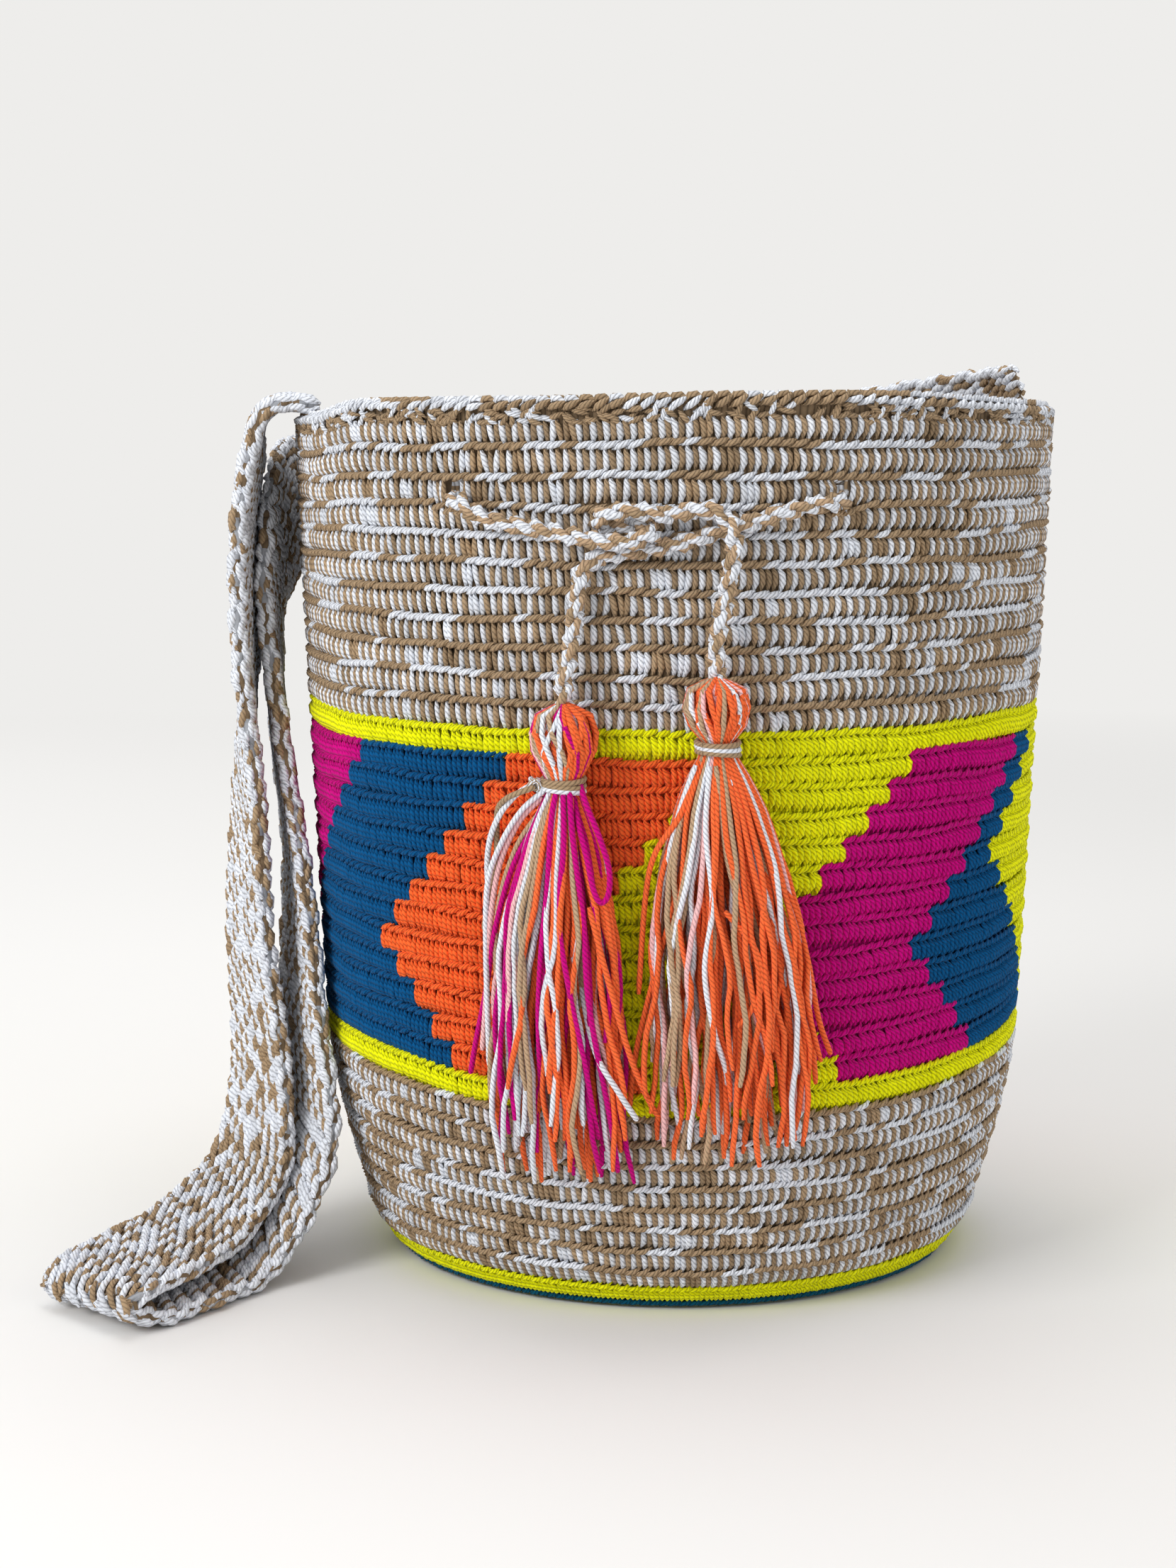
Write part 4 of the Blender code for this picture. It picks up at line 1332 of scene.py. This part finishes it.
strap = {
    "width": 0.048,
    "core": 0.0030,
    "columns": 9,
    "loop": 0.0061,
    "edgeLoop": 0.0062,
    "thickness": 0.005,
    "clearance": 0.0003,
    "starts": ((-0.0045, 0.0002), (0.0015, 0.0010)),  # distance from the wall, rise over its seat
    "end": (0.0040, -0.0100, 90, -73),  # past the clearance, rise over the rim, turn and lean
    "ripple": 0.0007,
    "rippleLength": 0.0165,
    "rippleShift": 2.0,  # of the wave, from one edge to the middle
    "rippleOff": 0.7,  # share of the ripple off the face
    "rippleEnds": 0.02,  # length at each end over which it fades
    "lowest": 0.0021,  # of a stitch's middle above the floor
    "coreInset": 0.0016,
    "coreGroove": 0.0006,
    "coreStep": 0.0042,
    # the core shows only between the stitches, so its colours are darkened there as painted shade
    "coreTones": (0.35, 0.5, 0.55),  # share of white, and both colours' shades
    "stitchInset": 0.0035,
    "white": ((-1, 0.85), (1, 0.24)),  # share of white in each leg of a stitch
    "edgeWhite": 0.66,
    "sizes": (1.08, 0.92),  # of white and of tan yarn
    "slant": 0.30,
    "legs": (0.25, 0.15),  # from a stitch's middle: across, as a share of its column, and along, of a loop
    "stagger": 0.5,  # of every second column, as a share of a loop
    "jitter": (0.0003, 0.06),  # along the strap, roll
    "edgeStagger": 0.25,
    "edgeRoll": (0.10, 0.05),  # slant and jitter
    "tints": (0.84, 1.06),
    "edgeTints": (0.92, 1.05),
    "edgeInset": 0.0020,
    "edgeLift": 0.0012,
    "seed": 5,
}
strapHang = (
    (-84.2, 0.0080, -0.0010, 0, 0), (-84.2, 0.0130, -0.0065, 0, 0), (-84.2, 0.0150, -0.0170, -3, 0),
    (-84.0, 0.0184, -0.0400, -6, 0), (-84.0, 0.0202, -0.0800, -5, 0),
)
strapFloor = (
    (-83.8, 0.0220, 0.1500, 8, 0), (-83.0, 0.0245, 0.1050, 14, 0), (-81.5, 0.0250, 0.0600, 18, 0),
    (-78.0, 0.0370, 0.0310, 20, 0), (-71.5, 0.0590, 0.0165, 20, 0), (-65.0, 0.0800, 0.0135, 17, 0),
    (-61.0, 0.0990, 0.0122, 14, 0), (-60.0, 0.1095, 0.0076, 13, 0), (-61.0, 0.1010, 0.0030, 14, 0),
    (-64.5, 0.0800, 0.0029, 17, 0), (-68.5, 0.0610, 0.0045, 18, 0), (-71.0, 0.0395, 0.0150, 16, 0),
    (-76.0, 0.0165, 0.0420, 14, 0), (-80.5, 0.0095, 0.0850, 10, 0), (-85.5, 0.0085, 0.1300, 6, -4),
)
strapRise = (
    (-88.3, 0.0115, -0.1065, 6, -4), (-90.5, 0.0128, -0.0705, 2, -3), (-92.6, 0.0112, -0.0525, 0, -30),
    (-98.4, 0.0102, -0.0393, 0, -60), (-106.5, 0.0130, -0.0347, 0, -80), (-118.0, 0.0150, -0.0345, 0, -86),
    (-134.0, 0.0150, -0.0333, 20, -87), (-150.0, 0.0150, -0.0320, 45, -88),
    (-180.0, 0.0150, -0.0280, 90, -90), (-205.0, 0.0148, -0.0215, 90, -87),
    (-225.0, 0.0125, -0.0150, 90, -81), (-241.0, 0.0090, -0.0115, 90, -75),
)


def strapStations():
    half = strap["thickness"] / 2
    seat = bag["height"] - bag["rimDip"] + half + strap["clearance"]
    left, right = bag["seamAngles"]
    stations = [(left, reach, seat + rise, 0, 0) for reach, rise in strap["starts"]]
    for route, start in ((strapHang, bag["height"]), (strapFloor, 0), (strapRise, bag["height"])):
        stations += [(a, s, start + z, turn, lean) for a, s, z, turn, lean in route]
    reach, rise, turn, lean = strap["end"]
    stations.append((right, half + strap["clearance"] + reach, bag["height"] + rise, turn, lean))
    angle, standoff, height, turn, lean = np.array(stations).T
    middles = onWall(angle, height, standoff)
    along, turn, lean = np.radians(angle), np.radians(turn), np.radians(lean)
    level = np.stack([-np.cos(along), -np.sin(along), 0 * along], -1)
    outward = np.stack([np.sin(along), -np.cos(along), 0 * along], -1)
    turned = level * np.cos(turn)[:, None] + outward * np.sin(turn)[:, None]
    widths = turned * np.cos(lean)[:, None] + np.stack([0 * lean, 0 * lean, np.sin(lean)], -1)
    return middles, widths


strapMiddles, strapWidths = strapStations()
strapPositions = np.linspace(0, len(strapMiddles) - 1, 3000)
strapCurve, strapWide = (curvePoints(stations, strapPositions) for stations in (strapMiddles, strapWidths))
strapAt = lengthsAlong(strapCurve)


def strapFrame(at):
    # the strap's middle, and the directions along it, across it and off its face
    middle, ahead, behind = (pointsAt(at + step, strapAt, strapCurve) for step in (0, 0.002, -0.002))
    along = unit(ahead - behind)
    wide = pointsAt(at, strapAt, strapWide)
    wide = unit(wide - along * np.sum(wide * along, -1, keepdims=True))
    return middle, along, wide, np.cross(along, wide)


def strapSpot(at, across, off):
    # a place on the strap, with the ripple that its loops give it
    middle, _, wide, face = strapFrame(at)
    ends = smooth(at / strap["rippleEnds"]) * smooth((strapAt[-1] - at) / strap["rippleEnds"])
    edge = np.abs(across) / (strap["width"] / 2)
    wave = np.sin(2 * math.pi * at / strap["rippleLength"] + strap["rippleShift"] * np.sign(across))
    wavy = strap["ripple"] * ends * edge**2 * wave
    spot = middle + wide * (across + wavy)[..., None] + face * (off + strap["rippleOff"] * wavy)[..., None]
    spot[..., 2] = np.maximum(spot[..., 2], strap["lowest"])
    return spot


def makeStrapCore():
    half, thick = strap["width"] / 2 - strap["coreInset"], strap["core"] / 2
    across = np.linspace(-half, half, 2 * strap["columns"] + 1)
    high = thick - strap["coreGroove"] * (np.arange(len(across)) % 2 == 0)
    section = [*zip(across, high), *zip(across[::-1], -high[::-1])]
    steps = np.append(np.arange(0, strapAt[-1], strap["coreStep"]), strapAt[-1])
    shape = bmesh.new()
    count = len(section)
    grid = np.stack([strapSpot(steps, np.full(len(steps), x), np.full(len(steps), y)) for x, y in section], 1)
    rings = [[shape.verts.new(point) for point in ring] for ring in grid]
    for first, second in zip(rings, rings[1:]):
        for side in range(count):
            after = (side + 1) % count
            shape.faces.new((first[side], first[after], second[after], second[side]))
    shape.faces.new(rings[0])
    shape.faces.new(rings[-1])
    bmesh.ops.recalc_face_normals(shape, faces=shape.faces)
    for face in shape.faces:
        face.smooth = len(face.verts) == 4
    data = bpy.data.meshes.new("strap_core")
    shape.to_mesh(data)
    shape.free()
    dice = np.random.default_rng(strap["seed"])
    share, whiteShade, tanShade = strap["coreTones"]
    white = dice.random((len(data.polygons), 1)) < share
    # the core's colours darkened as painted shade between the stitches
    dye(data, "FACE", np.where(white, yarnColours["white"] * whiteShade, yarnColours["tan"] * tanShade))
    data.materials.append(strapCloth)
    return finished(addPiece("strap_core", data), "strap")


strapStitch = {
    "Upright start": (0, -0.0043, -0.0009),
    "Upright middle": (0, 0, 0.0019),
    "Upright end": (0, 0.0043, -0.0012),
    "Upright radius": 0.00128,
    "Upright steps": 3,
    "Lying start": (0, -0.0038, -0.0016),
    "Lying middle": (0, 0, 0.0020),
    "Lying end": (0, 0.0038, -0.0018),
    "Lying radius": 0.00125,
    "Lying steps": 4,
    "End share": 0.45,
    "Sides": 4,
}


def makeStrapStitches():
    dice = np.random.default_rng(strap["seed"] + 1)
    stitches = Stitches()
    columns, loop = strap["columns"], strap["loop"]
    wide = strap["width"] - strap["stitchInset"]
    (aside, ahead), (slide, turning) = strap["legs"], strap["jitter"]
    count = int(strapAt[-1] / loop)
    at = (np.arange(count) + 0.5) * strapAt[-1] / count
    for side in (1, -1):
        for column in range(columns):
            for leg, share in strap["white"]:
                across = np.full(count, (column + 0.5 + leg * aside) * (wide / columns) - wide / 2)
                place = at + (column % 2) * loop * strap["stagger"] + leg * loop * ahead
                place = place + dice.normal(0, slide, count)
                place = np.clip(place, 0.001, strapAt[-1] - 0.001)
                white = (dice.random(count) < share)[:, None]
                spot = strapSpot(place, across, np.full(count, side * strap["core"] / 2))
                along, level, face = strapFrame(place)[1:]
                colours = whiteOrTan(white) * dice.uniform(*strap["tints"], (count, 1))
                size = np.where(white, *strap["sizes"]) * [1, 1, 1]
                roll = dice.normal(strap["slant"], turning, count)
                stitches.add(spot, (-level * side, along, face * side), colours, 0, size, roll)
    # loops along the two edges
    count = int(strapAt[-1] / strap["edgeLoop"])
    slant, turning = strap["edgeRoll"]
    for side in (1, -1):
        for layer in (-1, 1):
            at = (np.arange(count) + 0.5 + strap["edgeStagger"] * layer) * strapAt[-1] / count
            at = np.clip(at, 0.002, strapAt[-1] - 0.002)
            white = dice.random(count) < strap["edgeWhite"]
            across = np.full(count, side * (strap["width"] / 2 - strap["edgeInset"]))
            spot = strapSpot(at, across, np.full(count, layer * strap["edgeLift"]))
            along, level = strapFrame(at)[1:3]
            colours = whiteOrTan(white) * dice.uniform(*strap["edgeTints"], (count, 1))
            frame = np.cross(along, level * side), along, level * side
            stitches.add(spot, frame, colours, 1, roll=dice.normal(slant * layer, turning, count))
    return finished(stitches.grown("strap_stitches", strapStitch, strapYarn), "strap")


strapCore = makeStrapCore()
strapStitches = makeStrapStitches()
print(f"strap {strapAt[-1]:.3f} m long")


# Floor, background and light

studio = {
    "paper": linear(238, 237, 235),
    "clearRadius": 0.55,
    "fadeRadius": 1.7,
    "worldStrength": 0.58,
    "lamps": (  # name, place, aim, size, power
        ("keyLamp", (-1.15, -1.15, 1.05), (0, 0, 0.15), 0.9, 16.0),
        ("fillLamp", (1.2, -1.0, 0.7), (0, 0, 0.13), 1.2, 2.5),
        ("topLamp", (0.1, 0.2, 1.5), (0, 0, 0.1), 1.2, 7.0),
        ("backLamp", (-0.9, 1.3, 0.8), (0, 0, 0.15), 1.2, 5.0),
    ),
}


def seenDirectly(graph):
    # 1 where the camera sees a surface, straight or in a reflection
    ray = graph.node("ShaderNodeLightPath")
    seen = ray.of("Is Camera Ray").maths("MAXIMUM", ray.of("Is Glossy Ray"))
    return seen.maths("MAXIMUM", ray.of("Is Transmission Ray"))


def blendInto(graph, share, shader, paper, output):
    # the paper's plain colour takes over from a shader by the share
    mixed = graph.node("ShaderNodeMixShader", {0: share, 1: Wire(graph, shader, shader.outputs[0]), 2: paper})
    graph.join(mixed, graph.tree.nodes[output].inputs["Surface"])


def makeFloor():
    mesh = bmesh.new()
    bmesh.ops.create_circle(mesh, cap_ends=True, segments=64, radius=20)
    data = bpy.data.meshes.new("floor")
    mesh.to_mesh(data)
    mesh.free()
    floor = addPiece("floor", data)
    material, graph, shader = newMaterial("paper")
    shader.inputs["Base Color"].default_value = (*studio["paper"], 1)
    shader.inputs["Roughness"].default_value = 0.95
    shader.inputs["Specular IOR Level"].default_value = 0.1
    spot = graph.node("ShaderNodeTexCoord").of("Object")
    reach = graph.node("ShaderNodeVectorMath", {"Vector": spot}, operation="LENGTH").of("Value")
    far = ((reach - studio["clearRadius"]) / (studio["fadeRadius"] - studio["clearRadius"])).clamped()
    glow = graph.node("ShaderNodeEmission", {"Color": (*studio["paper"], 1), "Strength": 1.0})
    blendInto(graph, far * seenDirectly(graph), shader, glow, "Material Output")
    data.materials.append(material)


def makeWorld():
    world = bpy.data.worlds.new("studio")
    world.use_nodes = True
    bpy.context.scene.world = world
    graph = Graph(world.node_tree)
    light = graph.tree.nodes["Background"]
    light.inputs["Color"].default_value = (1, 1, 1, 1)
    light.inputs["Strength"].default_value = studio["worldStrength"]
    paper = graph.node("ShaderNodeBackground", {"Color": (*studio["paper"], 1), "Strength": 1.0})
    blendInto(graph, seenDirectly(graph), light, paper, "World Output")


def makeLamps():
    for name, place, aim, size, power in studio["lamps"]:
        data = bpy.data.lights.new(name, "AREA")
        data.shape = "DISK"
        data.size = size
        data.energy = power
        lamp = bpy.data.objects.new(name, data)
        lamp.location = place
        way = np.array(aim) - np.array(place)
        lamp.rotation_euler = (math.acos(-way[2] / np.linalg.norm(way)), 0, math.atan2(-way[0], way[1]))
        bpy.context.scene.collection.objects.link(lamp)


makeFloor()
makeWorld()
makeLamps()
bpy.context.scene.view_settings.view_transform = "Standard"
print("studio made")
